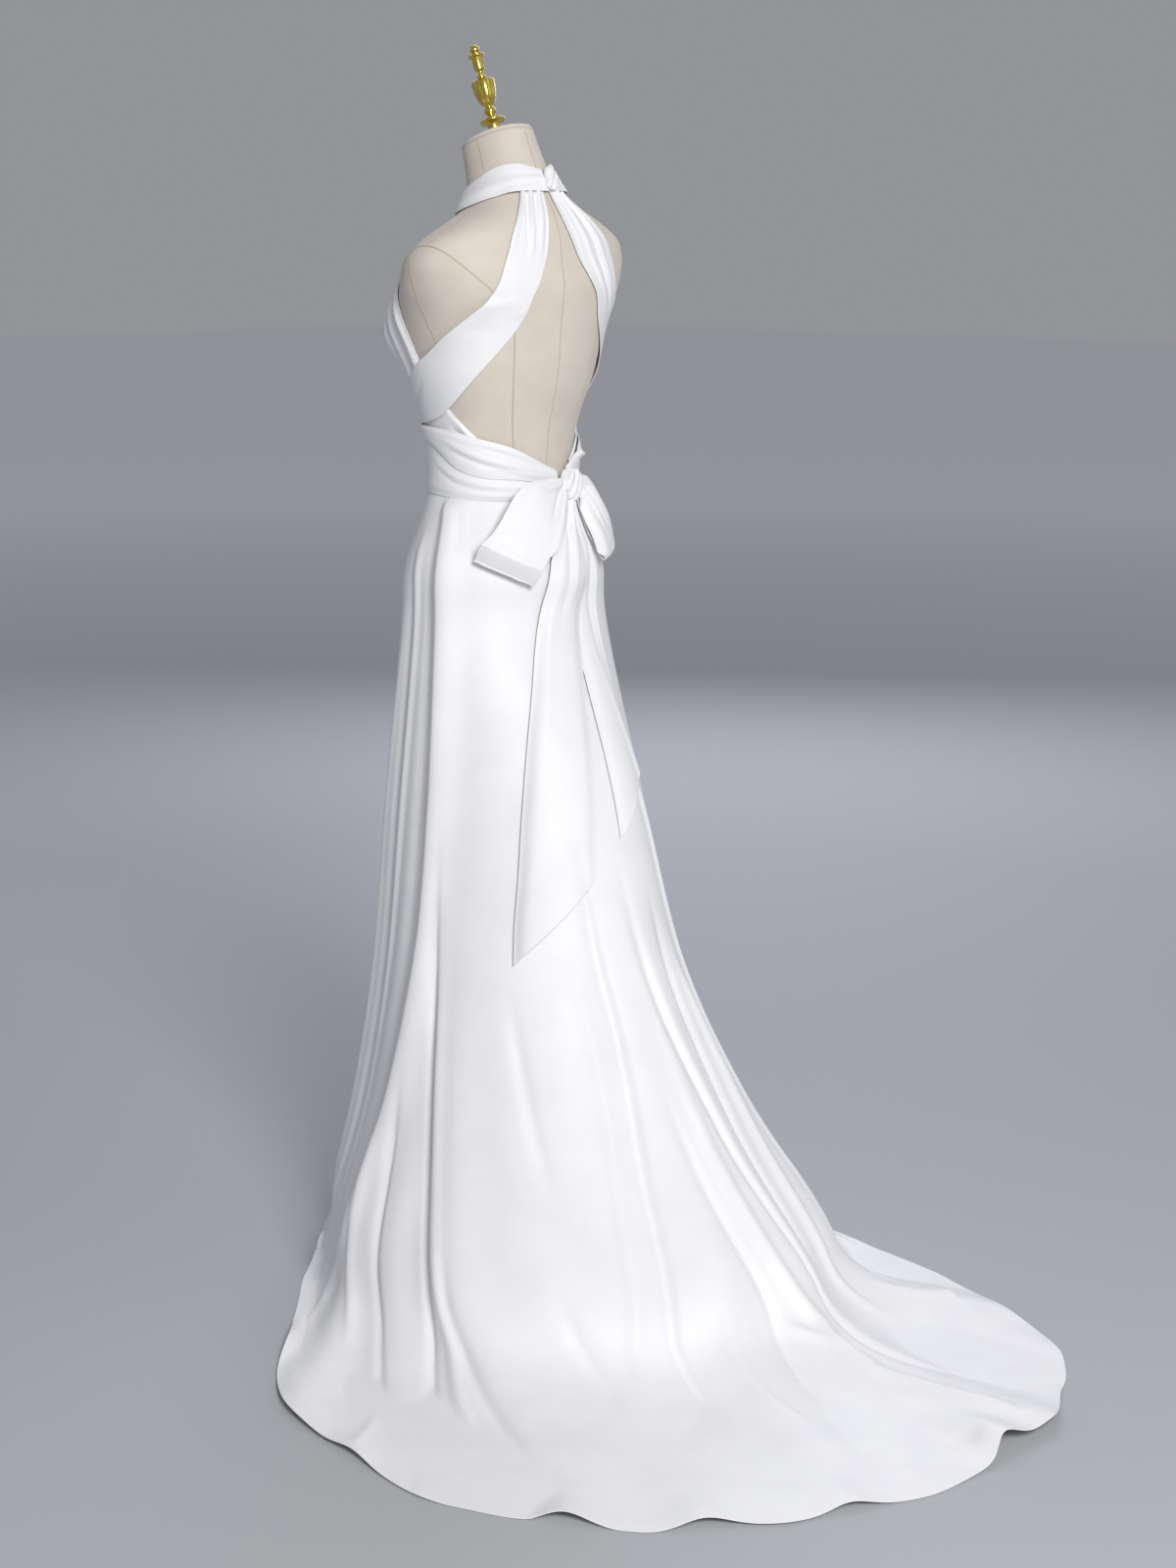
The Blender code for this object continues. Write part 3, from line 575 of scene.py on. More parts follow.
@dataclass(frozen=True)
class DressSurface:
    """The dressed body: the form above the waist seam, and the skirt below it."""

    form: FormSurface
    skirt: SkirtSurface

    def point(self, azimuth: np.ndarray, level: np.ndarray, lift: np.ndarray) -> np.ndarray:
        """Points at a distance off the dress.

        Args:
            azimuth: degrees round the form.
            level: height in metres.
            lift: metres out from the dress.

        Returns:
            Points in an array with one more axis.
        """
        place = self.form.point(azimuth, level, lift + self.skirt.lift)
        below = level < WAIST_SEAM - SEAM_GAP
        if below.any():
            run = self.skirt.run_at(azimuth[below], level[below])
            place[below] = self.skirt.point(azimuth[below], run, lift[below])
        return place


# Meshes


def grid_mesh(name: str, grids: Sequence[np.ndarray], finish: bpy.types.Material, closed: bool = False,
              caps: bool = False) -> bpy.types.Object:
    """Makes one smooth mesh object from grids of points.

    Args:
        name: name of the object.
        grids: arrays of rows, columns and three coordinates; rows run down, columns to the form's left.
        finish: its material.
        closed: True where the last column joins the first.
        caps: True where the first and last row are each filled with a face.

    Returns:
        The object, linked to the scene.
    """
    points, faces, start = [], [], 0
    for grid in grids:
        rows, columns = grid.shape[:2]
        index = np.arange(rows * columns).reshape(rows, columns) + start
        left = index if closed else index[:, :-1]
        right = np.roll(index, -1, axis=1) if closed else index[:, 1:]
        quads = np.stack([left[:-1], left[1:], right[1:], right[:-1]], axis=-1)
        faces.extend(quads.reshape(-1, 4).tolist())
        if caps:
            faces.append(index[0].tolist())
            faces.append(index[-1][::-1].tolist())
        points.append(grid.reshape(-1, 3))
        start += rows * columns
    mesh = bpy.data.meshes.new(name)
    mesh.from_pydata(np.vstack(points).tolist(), [], faces)
    mesh.shade_smooth()
    mesh.materials.append(finish)
    made = bpy.data.objects.new(name, mesh)
    bpy.context.scene.collection.objects.link(made)
    return made


@dataclass(frozen=True)
class Cut:
    """Flat cut of a sheet of cloth.

    Attributes:
        width: metres across.
        length: metres along.
        held: how the dress holds it.
        rests_on: what it lies on or hangs from.
        area: square metres where the cut isn't a rectangle.
    """

    width: float
    length: float
    held: Held
    rests_on: tuple[str, ...]
    area: float | None = None


def edged(grid: np.ndarray) -> np.ndarray:
    """Adds one more line close to each edge of a grid, so that its edges stay crisp.

    Args:
        grid: the grid of points.

    Returns:
        The grid with two more rows and two more columns.
    """
    for _ in range(2):
        first = grid[:1] + unit(grid[1:2] - grid[:1]) * EDGE_INSET
        last = grid[-1:] + unit(grid[-2:-1] - grid[-1:]) * EDGE_INSET
        grid = np.concatenate([grid[:1], first, grid[1:-1], last, grid[-1:]]).swapaxes(0, 1)
    return grid


def stand_for(made: bpy.types.Object, node: str) -> None:
    """Lets a piece stand for a solid.

    Args:
        made: the piece.
        node: the solid that it replaces.
    """
    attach(made, "root")
    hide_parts(node)
    LOG.info("%s: %d points", made.name, len(made.data.vertices))


def cloth_piece(node: str, grid: np.ndarray, finish: bpy.types.Material) -> None:
    """Makes a thin satin shell that stands for a cloth solid.

    Args:
        node: the solid that it replaces.
        grid: points of its outer face.
        finish: its material.
    """
    made = grid_mesh("satin_" + node, [edged(grid)], finish)
    wall = made.modifiers.new("cloth", "SOLIDIFY")
    wall.thickness = SHELL
    wall.offset = -1.0
    wall.use_even_offset = False
    stand_for(made, node)


def band_grid(turns: np.ndarray, low: np.ndarray | float, high: np.ndarray,
              rows: int) -> tuple[np.ndarray, np.ndarray, np.ndarray]:
    """Places over a band between two levels.

    Args:
        turns: azimuth of each column.
        low: level of its lower edge at each column.
        high: level of its upper edge at each column.
        rows: number of rows, from the top down.

    Returns:
        Azimuth and level at each place, and each row's share of the way up, in one column.
    """
    share = np.linspace(1, 0, rows)[:, None]
    return np.broadcast_to(turns, (rows, len(turns))), low + (high - low) * share, share


def strip_grid(edges: Rows, along: int, across: int,
               place: Callable[[np.ndarray, np.ndarray, np.ndarray], np.ndarray],
               creases: Sequence[Crease], crown: float = 0.0) -> np.ndarray:
    """Points over a strip given by both its edges and its lift.

    Args:
        edges: rows of azimuth and level of one edge, of the other edge, and the lift.
        along: number of steps along the strip.
        across: number of steps across it.
        place: puts an azimuth, a level and a lift on the surface.
        creases: folds, by share across and row along.
        crown: metres that the middle bulges.

    Returns:
        The grid of points.
    """
    line = eased(edges, along + 1)
    share = np.linspace(0, 1, across + 1)
    azimuth = line[:, 0, None] + (line[:, 2] - line[:, 0])[:, None] * share
    level = line[:, 1, None] + (line[:, 3] - line[:, 1])[:, None] * share
    lift = line[:, 4, None] + crown * np.sin(np.pi * share)[None, :]
    base = place(azimuth, level, lift)
    wide = length(np.gradient(base, axis=1)) * across
    long = length(np.gradient(base, axis=0)) * along / (len(edges) - 1)
    shares, rows = np.meshgrid(share, np.linspace(0, len(edges) - 1, along + 1))
    return place(azimuth, level, lift + relief_of(creases, shares, rows, wide, long))


def on_side(grid: np.ndarray, side: Side) -> np.ndarray:
    """A grid made for the left, put on a side of the form, still running round to its left."""
    return grid if side is Side.LEFT else grid[:, ::-1] * np.array((-1.0, 1.0, 1.0))


# Finishes


def linear(colour: str) -> tuple[float, float, float, float]:
    """Turns an sRGB hex colour into linear values.

    Args:
        colour: the colour, such as "#f2f2f6".

    Returns:
        Linear red, green and blue, and an alpha of 1.
    """
    channels = []
    for start in (1, 3, 5):
        value = int(colour[start:start + 2], 16) / 255
        channels.append(value / 12.92 if value <= 0.04045 else ((value + 0.055) / 1.055) ** 2.4)
    return (*channels, 1.0)


def add_node(tree: bpy.types.NodeTree, kind: str, settings: dict[str, object],
             links: dict[str, bpy.types.NodeSocket]) -> bpy.types.Node:
    """Adds one node with its settings and links.

    Args:
        tree: the node tree.
        kind: Blender's name of the node type.
        settings: values of its inputs or attributes, by name.
        links: sockets that feed its inputs, by name.

    Returns:
        The node.
    """
    node = tree.nodes.new(kind)
    for name, value in settings.items():
        if name in node.inputs:
            node.inputs[name].default_value = value
        else:
            setattr(node, name, value)
    for name, socket in links.items():
        tree.links.new(socket, node.inputs[name])
    return node


def start_finish(name: str) -> tuple[bpy.types.Material, bpy.types.Node, bpy.types.NodeSocket]:
    """Starts a finish.

    Args:
        name: name of the material.

    Returns:
        The material, its shader, and a socket with the place on the object.
    """
    made = bpy.data.materials.new(name)
    made.use_nodes = True
    place = add_node(made.node_tree, "ShaderNodeTexCoord", {}, {}).outputs["Object"]
    return made, made.node_tree.nodes["Principled BSDF"], place


def set_shader(shader: bpy.types.Node, values: dict[str, float]) -> None:
    """Sets values on the shader's own sockets, by name."""
    for name, value in values.items():
        shader.inputs[name].default_value = value


def mottle(shader: bpy.types.Node, place: bpy.types.NodeSocket, patch_mm: float, detail: float,
           shades: tuple[str, str], levels: tuple[float, float]) -> bpy.types.NodeSocket:
    """Colours a finish in soft patches of two shades.

    Args:
        shader: the shader of the finish.
        place: socket with the place on the object.
        patch_mm: size of a patch.
        detail: how finely the patches' edges break up.
        shades: the darker shade, then the lighter one, as sRGB hex.
        levels: shares of the pattern up to which, and from which, a shade is full.

    Returns:
        The socket of the pattern.
    """
    tree = shader.id_data
    cloud = add_node(tree, "ShaderNodeTexNoise", {"Scale": 1 / (patch_mm * MM), "Detail": detail},
                     {"Vector": place})
    tint = add_node(tree, "ShaderNodeValToRGB", {}, {"Fac": cloud.outputs["Fac"]})
    for stop, level, shade in zip(tint.color_ramp.elements, levels, shades):
        stop.position = level
        stop.color = linear(shade)
    tree.links.new(tint.outputs["Color"], shader.inputs["Base Color"])
    return cloud.outputs["Fac"]


def grain(shader: bpy.types.Node, place: bpy.types.NodeSocket, size_mm: float, detail: float,
          strength: float, depth_mm: float) -> None:
    """Gives a finish its fine relief.

    Args:
        shader: the shader of the finish.
        place: socket with the place on the object.
        size_mm: size of one grain.
        detail: how finely the grains break up.
        strength: how strongly the relief is felt.
        depth_mm: its depth.
    """
    tree = shader.id_data
    relief = add_node(tree, "ShaderNodeTexNoise", {"Scale": 1 / (size_mm * MM), "Detail": detail},
                      {"Vector": place})
    bump = add_node(tree, "ShaderNodeBump", {"Strength": strength, "Distance": depth_mm * MM},
                    {"Height": relief.outputs["Fac"]})
    tree.links.new(bump.outputs["Normal"], shader.inputs["Normal"])


@dataclass(frozen=True)
class BridalSatin:
    """Heavy polyester satin, woven with long floats and pressed: a bright, cool, soft gleam."""

    name: str = "woven_bridal_satin"
    light: str = "#f6f6f8"
    dark: str = "#f3f3f6"
    cloud_mm: float = 70.0
    shade_levels: tuple[float, float] = (0.38, 0.62)
    slub_mm: float = 2.4
    slub_long_mm: float = 26.0
    slub_depth_mm: float = 0.10
    slub_strength: float = 0.35
    roughness: float = 0.50
    specular: float = 0.30
    sheen: float = 0.12
    sheen_roughness: float = 0.4

    def build(self) -> bpy.types.Material:
        """Makes the material; its thread floats of 0.3 mm are drawn at 2.4 mm, so that they show.

        Returns:
            The material.
        """
        made, shader, place = start_finish(self.name)
        mottle(shader, place, self.cloud_mm, 3.0, (self.dark, self.light), self.shade_levels)
        stretch = add_node(made.node_tree, "ShaderNodeMapping",
                           {"Scale": (1.0, 1.0, self.slub_mm / self.slub_long_mm)}, {"Vector": place})
        grain(shader, stretch.outputs["Vector"], self.slub_mm, 2.0, self.slub_strength,
              self.slub_depth_mm)
        set_shader(shader, {"Roughness": self.roughness, "Specular IOR Level": self.specular,
                            "Sheen Weight": self.sheen, "Sheen Roughness": self.sheen_roughness})
        return made


@dataclass(frozen=True)
class FormCover:
    """Cream cotton jersey, knitted and stretched over padding: matt, with a very fine rib.

    Its seams are sewn with a thread of a darker cream, twisted from the same cotton.
    """

    name: str = "knitted_cotton_cover"
    light: str = "#ded5ca"
    dark: str = "#d9cfc3"
    rib_mm: float = 1.6
    cloud_mm: float = 45.0
    shade_levels: tuple[float, float] = (0.35, 0.65)
    rib_depth_mm: float = 0.25
    rib_strength: float = 0.4
    roughness: float = 0.86
    specular: float = 0.2
    sheen: float = 0.15

    def build(self) -> bpy.types.Material:
        """Makes the material; its rib of 0.8 mm is drawn at 1.6 mm, so that it shows.

        Returns:
            The material.
        """
        made, shader, place = start_finish(self.name)
        mottle(shader, place, self.cloud_mm, 4.0, (self.dark, self.light), self.shade_levels)
        grain(shader, place, self.rib_mm, 1.0, self.rib_strength, self.rib_depth_mm)
        set_shader(shader, {"Roughness": self.roughness, "Specular IOR Level": self.specular,
                            "Sheen Weight": self.sheen})
        return made


@dataclass(frozen=True)
class TurnedMetal:
    """Metal that was turned on a lathe and polished: bright rings with a fine, even haze."""

    name: str
    colour: str
    worn: str
    roughness: float
    haze_mm: float = 3.0
    shade_levels: tuple[float, float] = (0.3, 0.7)
    # Shares of the roughness at the brightest and the dullest place
    roughness_range: tuple[float, float] = (0.8, 1.3)

    def build(self) -> bpy.types.Material:
        """Makes the material, with a faint uneven tarnish in its colour and roughness.

        Returns:
            The material.
        """
        made, shader, place = start_finish(self.name)
        haze = mottle(shader, place, self.haze_mm, 4.0, (self.worn, self.colour), self.shade_levels)
        low, high = self.roughness_range
        rough = add_node(made.node_tree, "ShaderNodeMapRange",
                         {"To Min": self.roughness * low, "To Max": self.roughness * high},
                         {"Value": haze})
        made.node_tree.links.new(rough.outputs["Result"], shader.inputs["Roughness"])
        set_shader(shader, {"Metallic": 1.0})
        return made


@dataclass(frozen=True)
class FloorPaint:
    """Pale studio floor, painted and rolled: matt, with a faint stipple, and painted light that makes it
    paler away from the form.
    """

    name: str = "rolled_floor_paint"
    # Painted light: the floor's own grey near the form, the paler painted light far from it, and the
    # reaches where each is full
    near_grey: str = "#b7b9bd"
    far_painted_light: str = "#fafafc"
    near_grey_reach: float = 2.6
    far_light_reach: float = 11.0
    stipple_mm: float = 1000 / 180
    stipple_depth_mm: float = 0.4
    stipple_strength: float = 0.1
    roughness: float = 0.8

    def build(self) -> bpy.types.Material:
        """Makes the material.

        Returns:
            The material.
        """
        made, shader, place = start_finish(self.name)
        grain(shader, place, self.stipple_mm, 2.0, self.stipple_strength, self.stipple_depth_mm)
        tree = made.node_tree
        # Painted light: the colour grades from the near grey to a painted brightness far away, which
        # stands in for a lit horizon
        reach = add_node(tree, "ShaderNodeVectorMath", {"operation": "LENGTH"}, {"Vector": place})
        share = add_node(tree, "ShaderNodeMapRange",
                         {"From Min": self.near_grey_reach, "From Max": self.far_light_reach},
                         {"Value": reach.outputs["Value"]})
        tint = add_node(tree, "ShaderNodeValToRGB", {}, {"Fac": share.outputs["Result"]})
        for stop, shade in zip(tint.color_ramp.elements, (self.near_grey, self.far_painted_light)):
            stop.color = linear(shade)
        tree.links.new(tint.outputs["Color"], shader.inputs["Base Color"])
        set_shader(shader, {"Roughness": self.roughness})
        return made


# The form and its stand


@dataclass
class DressForm:
    """Padded limbless form with a slanted neck cap, sewn seams and a turned finial."""

    surface: FormSurface
    cover: bpy.types.Material
    thread: bpy.types.Material
    brass: bpy.types.Material
    bottom: float = 0.900
    cap_level: float = 1.629
    cap_thickness: float = 0.006
    piece_gap: float = 0.0003
    columns: int = 120
    rows: int = 170
    seam_width: float = 0.0012
    seam_height: float = 0.0006
    seam_lines: int = 5
    seam_steps: int = 5
    seams: tuple[tuple[tuple[float, float], ...], ...] = (
        ((180, 1.622), (179, 1.545), (178, 1.45), (178, 1.36), (180, 1.25), (182, 1.155)),
        ((151, 1.405), (150, 1.36), (149, 1.30), (150, 1.24), (153, 1.18)),
        ((209, 1.405), (210, 1.36), (211, 1.30), (210, 1.24), (207, 1.18)),
        ((102, 1.548), (98, 1.524), (95, 1.500), (93, 1.482)),
        ((258, 1.548), (262, 1.524), (265, 1.500), (267, 1.482)),
        ((97, 1.622), (98, 1.600), (100, 1.582)),
        ((68, 1.462), (80, 1.480), (93, 1.482), (109, 1.475), (123, 1.459), (133, 1.437), (140, 1.415),
         (139, 1.375), (128, 1.338), (114, 1.322), (102, 1.338), (97, 1.366), (92, 1.399), (88, 1.435),
         (82, 1.460), (74, 1.472)),
        ((-68, 1.462), (-80, 1.480), (-93, 1.482), (-109, 1.475), (-123, 1.459), (-133, 1.437),
         (-140, 1.415), (-139, 1.375), (-128, 1.338), (-114, 1.322), (-102, 1.338), (-97, 1.366),
         (-92, 1.399), (-88, 1.435), (-82, 1.460), (-74, 1.472)),
    )
    # Heights over the neck, and shares of its rim, from the top of the cap down
    cap_profile: Rows = (
        (0.0060, 0.880), (0.0058, 0.935), (0.0048, 0.970), (0.0032, 0.984), (0.0013, 0.984),
        (0.0003, 0.965))
    # Half profiles of radius and height, from the top of each turned piece down
    foot_profile: Rows = (
        (0.0, 0.0290), (0.0062, 0.0290), (0.0064, 0.0262), (0.0182, 0.0238), (0.0190, 0.0222),
        (0.0182, 0.0206), (0.0086, 0.0190), (0.0080, 0.0030), (0.0104, 0.0), (0.0, 0.0))
    urn_profile: Rows = (
        (0.0, 0.0560), (0.0040, 0.0560), (0.0050, 0.0530), (0.0162, 0.0520), (0.0172, 0.0500),
        (0.0166, 0.0400), (0.0140, 0.0280), (0.0100, 0.0190), (0.0050, 0.0150), (0.0046, 0.0130),
        (0.0078, 0.0110), (0.0086, 0.0080), (0.0078, 0.0045), (0.0046, 0.0020), (0.0046, 0.0),
        (0.0, 0.0))
    top_profile: Rows = (
        (0.0, 0.0494), (0.0032, 0.0488), (0.0060, 0.0464), (0.0069, 0.0430), (0.0060, 0.0398),
        (0.0034, 0.0378), (0.0034, 0.0360), (0.0112, 0.0352), (0.0119, 0.0335), (0.0112, 0.0318),
        (0.0074, 0.0310), (0.0074, 0.0130), (0.0060, 0.0120), (0.0034, 0.0100), (0.0034, 0.0055),
        (0.0064, 0.0030), (0.0064, 0.0), (0.0, 0.0))
    # Piece, lowest and highest level of its lobes, their number and depth
    lobed_piece: str = "finial_urn"
    lobe_range: tuple[float, float] = (0.0150, 0.0505)
    lobe_count: int = 7
    lobe_depth: float = 0.09
    turned_steps: int = 84
    # How far a turned corner is softened, and the most that it takes of a step in the profile
    corner: float = 0.0006
    corner_share: float = 0.3
    least_radius: float = 0.00005

    def build(self) -> None:
        """Builds the cover, the cap, the seams and the finial."""
        torso = self.build_torso()
        self.build_cap()
        self.build_seams(torso)
        self.build_finial()

    def rim(self, count: int) -> np.ndarray:
        """Points round the slanted top of the neck, the first one at the front."""
        turns = np.linspace(0, 360, count, endpoint=False)
        return self.surface.raw(turns, np.full(count, self.cap_level))

    def build_torso(self) -> bpy.types.Object:
        """Builds the padded body with its knitted cover.

        Returns:
            The cover.
        """
        turns = np.linspace(0, 360, self.columns, endpoint=False)
        levels = np.linspace(self.cap_level, self.bottom, self.rows)
        azimuth, level = np.meshgrid(turns, levels)
        made = grid_mesh("form_cover_torso", [self.surface.raw(azimuth, level)], self.cover,
                         closed=True, caps=True)
        stand_for(made, "form_torso")
        return made

    def build_cap(self) -> None:
        """Builds the thin padded cap on the slanted neck."""
        rim = self.rim(self.columns)
        middle = rim.mean(axis=0)
        upward = np.array(self.upward())
        grid = np.stack([middle + (rim - middle) * scale + upward * height
                         for height, scale in self.cap_profile])
        made = grid_mesh("form_cover_cap", [grid], self.cover, closed=True, caps=True)
        stand_for(made, "form_neck_cap")

    def build_seams(self, torso: bpy.types.Object) -> None:
        """Builds the sewn seams of the cover as thin welts.

        Args:
            torso: the cover that they go with.
        """
        across = np.linspace(-1, 1, self.seam_lines)
        grids = []
        for seam in self.seams:
            path = eased(seam, 3 * len(seam) - 2)
            line = eased(path, self.seam_steps * len(path))
            centre = self.surface.raw(line[:, 0], line[:, 1])
            normal = self.surface.normal(line[:, 0], line[:, 1])
            sideways = unit(np.cross(np.gradient(centre, axis=0), normal))
            grid = (centre[:, None] + sideways[:, None] * (across * self.seam_width)[None, :, None]
                    + normal[:, None] * ((1 - across ** 2) * self.seam_height)[None, :, None])
            grids.append(grid)
        made = grid_mesh("form_cover_seams", grids, self.thread)
        made.parent = torso
        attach(made, "root")

    def upward(self) -> Vector:
        """Direction square to the slanted top of the neck."""
        front, left, back, right = (Vector(point) for point in self.rim(4))
        return (back - front).cross(right - left).normalized()

    def build_finial(self) -> None:
        """Builds the turned finial, square to the neck cap."""
        upward = self.upward()
        seat = Vector(self.rim(12).mean(axis=0))
        height = self.cap_thickness + self.piece_gap
        for node, profile in (("finial_foot", self.foot_profile), ("finial_urn", self.urn_profile),
                              ("finial_top", self.top_profile)):
            made = self.turned(node, profile)
            made.rotation_mode = "QUATERNION"
            made.rotation_quaternion = upward.to_track_quat("Z", "Y")
            made.location = seat + upward * height
            stand_for(made, node)
            height += profile[0][1] + self.piece_gap

    def turned(self, node: str, profile: Rows) -> bpy.types.Object:
        """Turns a half profile into a round piece with softened corners.

        Args:
            node: the solid that it replaces.
            profile: rows of radius and height, from the top down.

        Returns:
            The object.
        """
        soft = [profile[0]]
        for before, corner, after in zip(profile, profile[1:], profile[2:]):
            for other in (before, after):
                share = min(self.corner_share, self.corner / math.dist(other, corner))
                soft.append(tuple(c + (o - c) * share for c, o in zip(corner, other)))
        soft.append(profile[-1])
        turns = np.linspace(0, 2 * math.pi, self.turned_steps, endpoint=False)
        low, high = self.lobe_range
        lobes = 1 - self.lobe_depth * (1 - np.abs(np.cos(self.lobe_count * turns / 2)))
        rows = []
        for radius, height in soft:
            lobed = node == self.lobed_piece and low < height < high
            reach = max(radius, self.least_radius) * (lobes if lobed else np.ones(turns.shape))
            rows.append(np.stack([reach * np.cos(turns), reach * np.sin(turns),
                                  np.full(turns.shape, height)], axis=-1))
        return grid_mesh("turned_" + node, [np.stack(rows)], self.brass, closed=True, caps=True)


@dataclass
class Stand:
    """Plain steel pole and base plate, hidden by the skirt, kept as they are in CAD."""

    steel: bpy.types.Material
    nodes: tuple[str, ...] = ("stand_pole", "stand_base")

    def build(self, cad_nodes: dict[str, bpy.types.Object]) -> None:
        """Gives the solids their finish.

        Args:
            cad_nodes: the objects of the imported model, by name.
        """
        for node in self.nodes:
            solid = cad_nodes[node]
            solid.data.materials.clear()
            solid.data.materials.append(self.steel)
            LOG.info("%s: kept, with %s", node, self.steel.name)


# The dress above the waist


@dataclass(frozen=True)
class SoftKnot:
    """Knot of folded satin: a rounded block with wrap folds.

    Attributes:
        node: the solid that it replaces.
        at: azimuth, level and lift of its middle.
        size: metres along its own three axes.
        turn: degrees about them.
        wraps: number of folds round it.
        wrap_depth: metres that a fold stands out.
        swell: its half width as a share of each size.
        wrap_lean: how much the folds run across and along it.
        squareness: from 0 for a block to 1 for a ball.
        pole_gap: radians left open at its two ends.
        rows: rows of its mesh.
        columns: columns of its mesh.
    """

    node: str
    at: tuple[float, float, float]
    size: tuple[float, float, float]
    turn: tuple[float, float, float]
    wraps: int
    wrap_depth: float
    swell: tuple[float, float, float]
    wrap_lean: tuple[float, float] = (0.9, 0.35)
    squareness: float = 0.72
    pole_gap: float = 0.02
    rows: int = 40
    columns: int = 64

    def build(self, surface: "FormSurface | DressSurface", satin: bpy.types.Material) -> None:
        """Builds the knot with folds that run round it.

        Args:
            surface: what it lies on.
            satin: its material.
        """
        end = math.pi / 2 - self.pole_gap
        up = np.linspace(end, -end, self.rows)[:, None]
        turn = np.linspace(0, 2 * math.pi, self.columns, endpoint=False)[None, :]
        ring, rise, ahead, aside = (np.sign(wave) * np.abs(wave) ** self.squareness
                                    for wave in (np.cos(up), np.sin(up), np.cos(turn), np.sin(turn)))
        x, y, z = ring * ahead, ring * aside, rise * np.ones(turn.shape)
        across, along = self.wrap_lean
        fold = np.sin(self.wraps * math.pi * (x * across + z * along)) * self.wrap_depth * ring
        half = np.array(self.size) * np.array(self.swell)
        grid = np.stack([x, y, z], axis=-1) * half * (1 + fold / half.min())[..., None]
        made = grid_mesh("satin_" + self.node, [grid], satin, closed=True, caps=True)
        made.location = Vector(surface.point(*(np.array([measure]) for measure in self.at))[0])
        made.rotation_euler = [math.radians(angle) for angle in self.turn]
        stand_for(made, self.node)


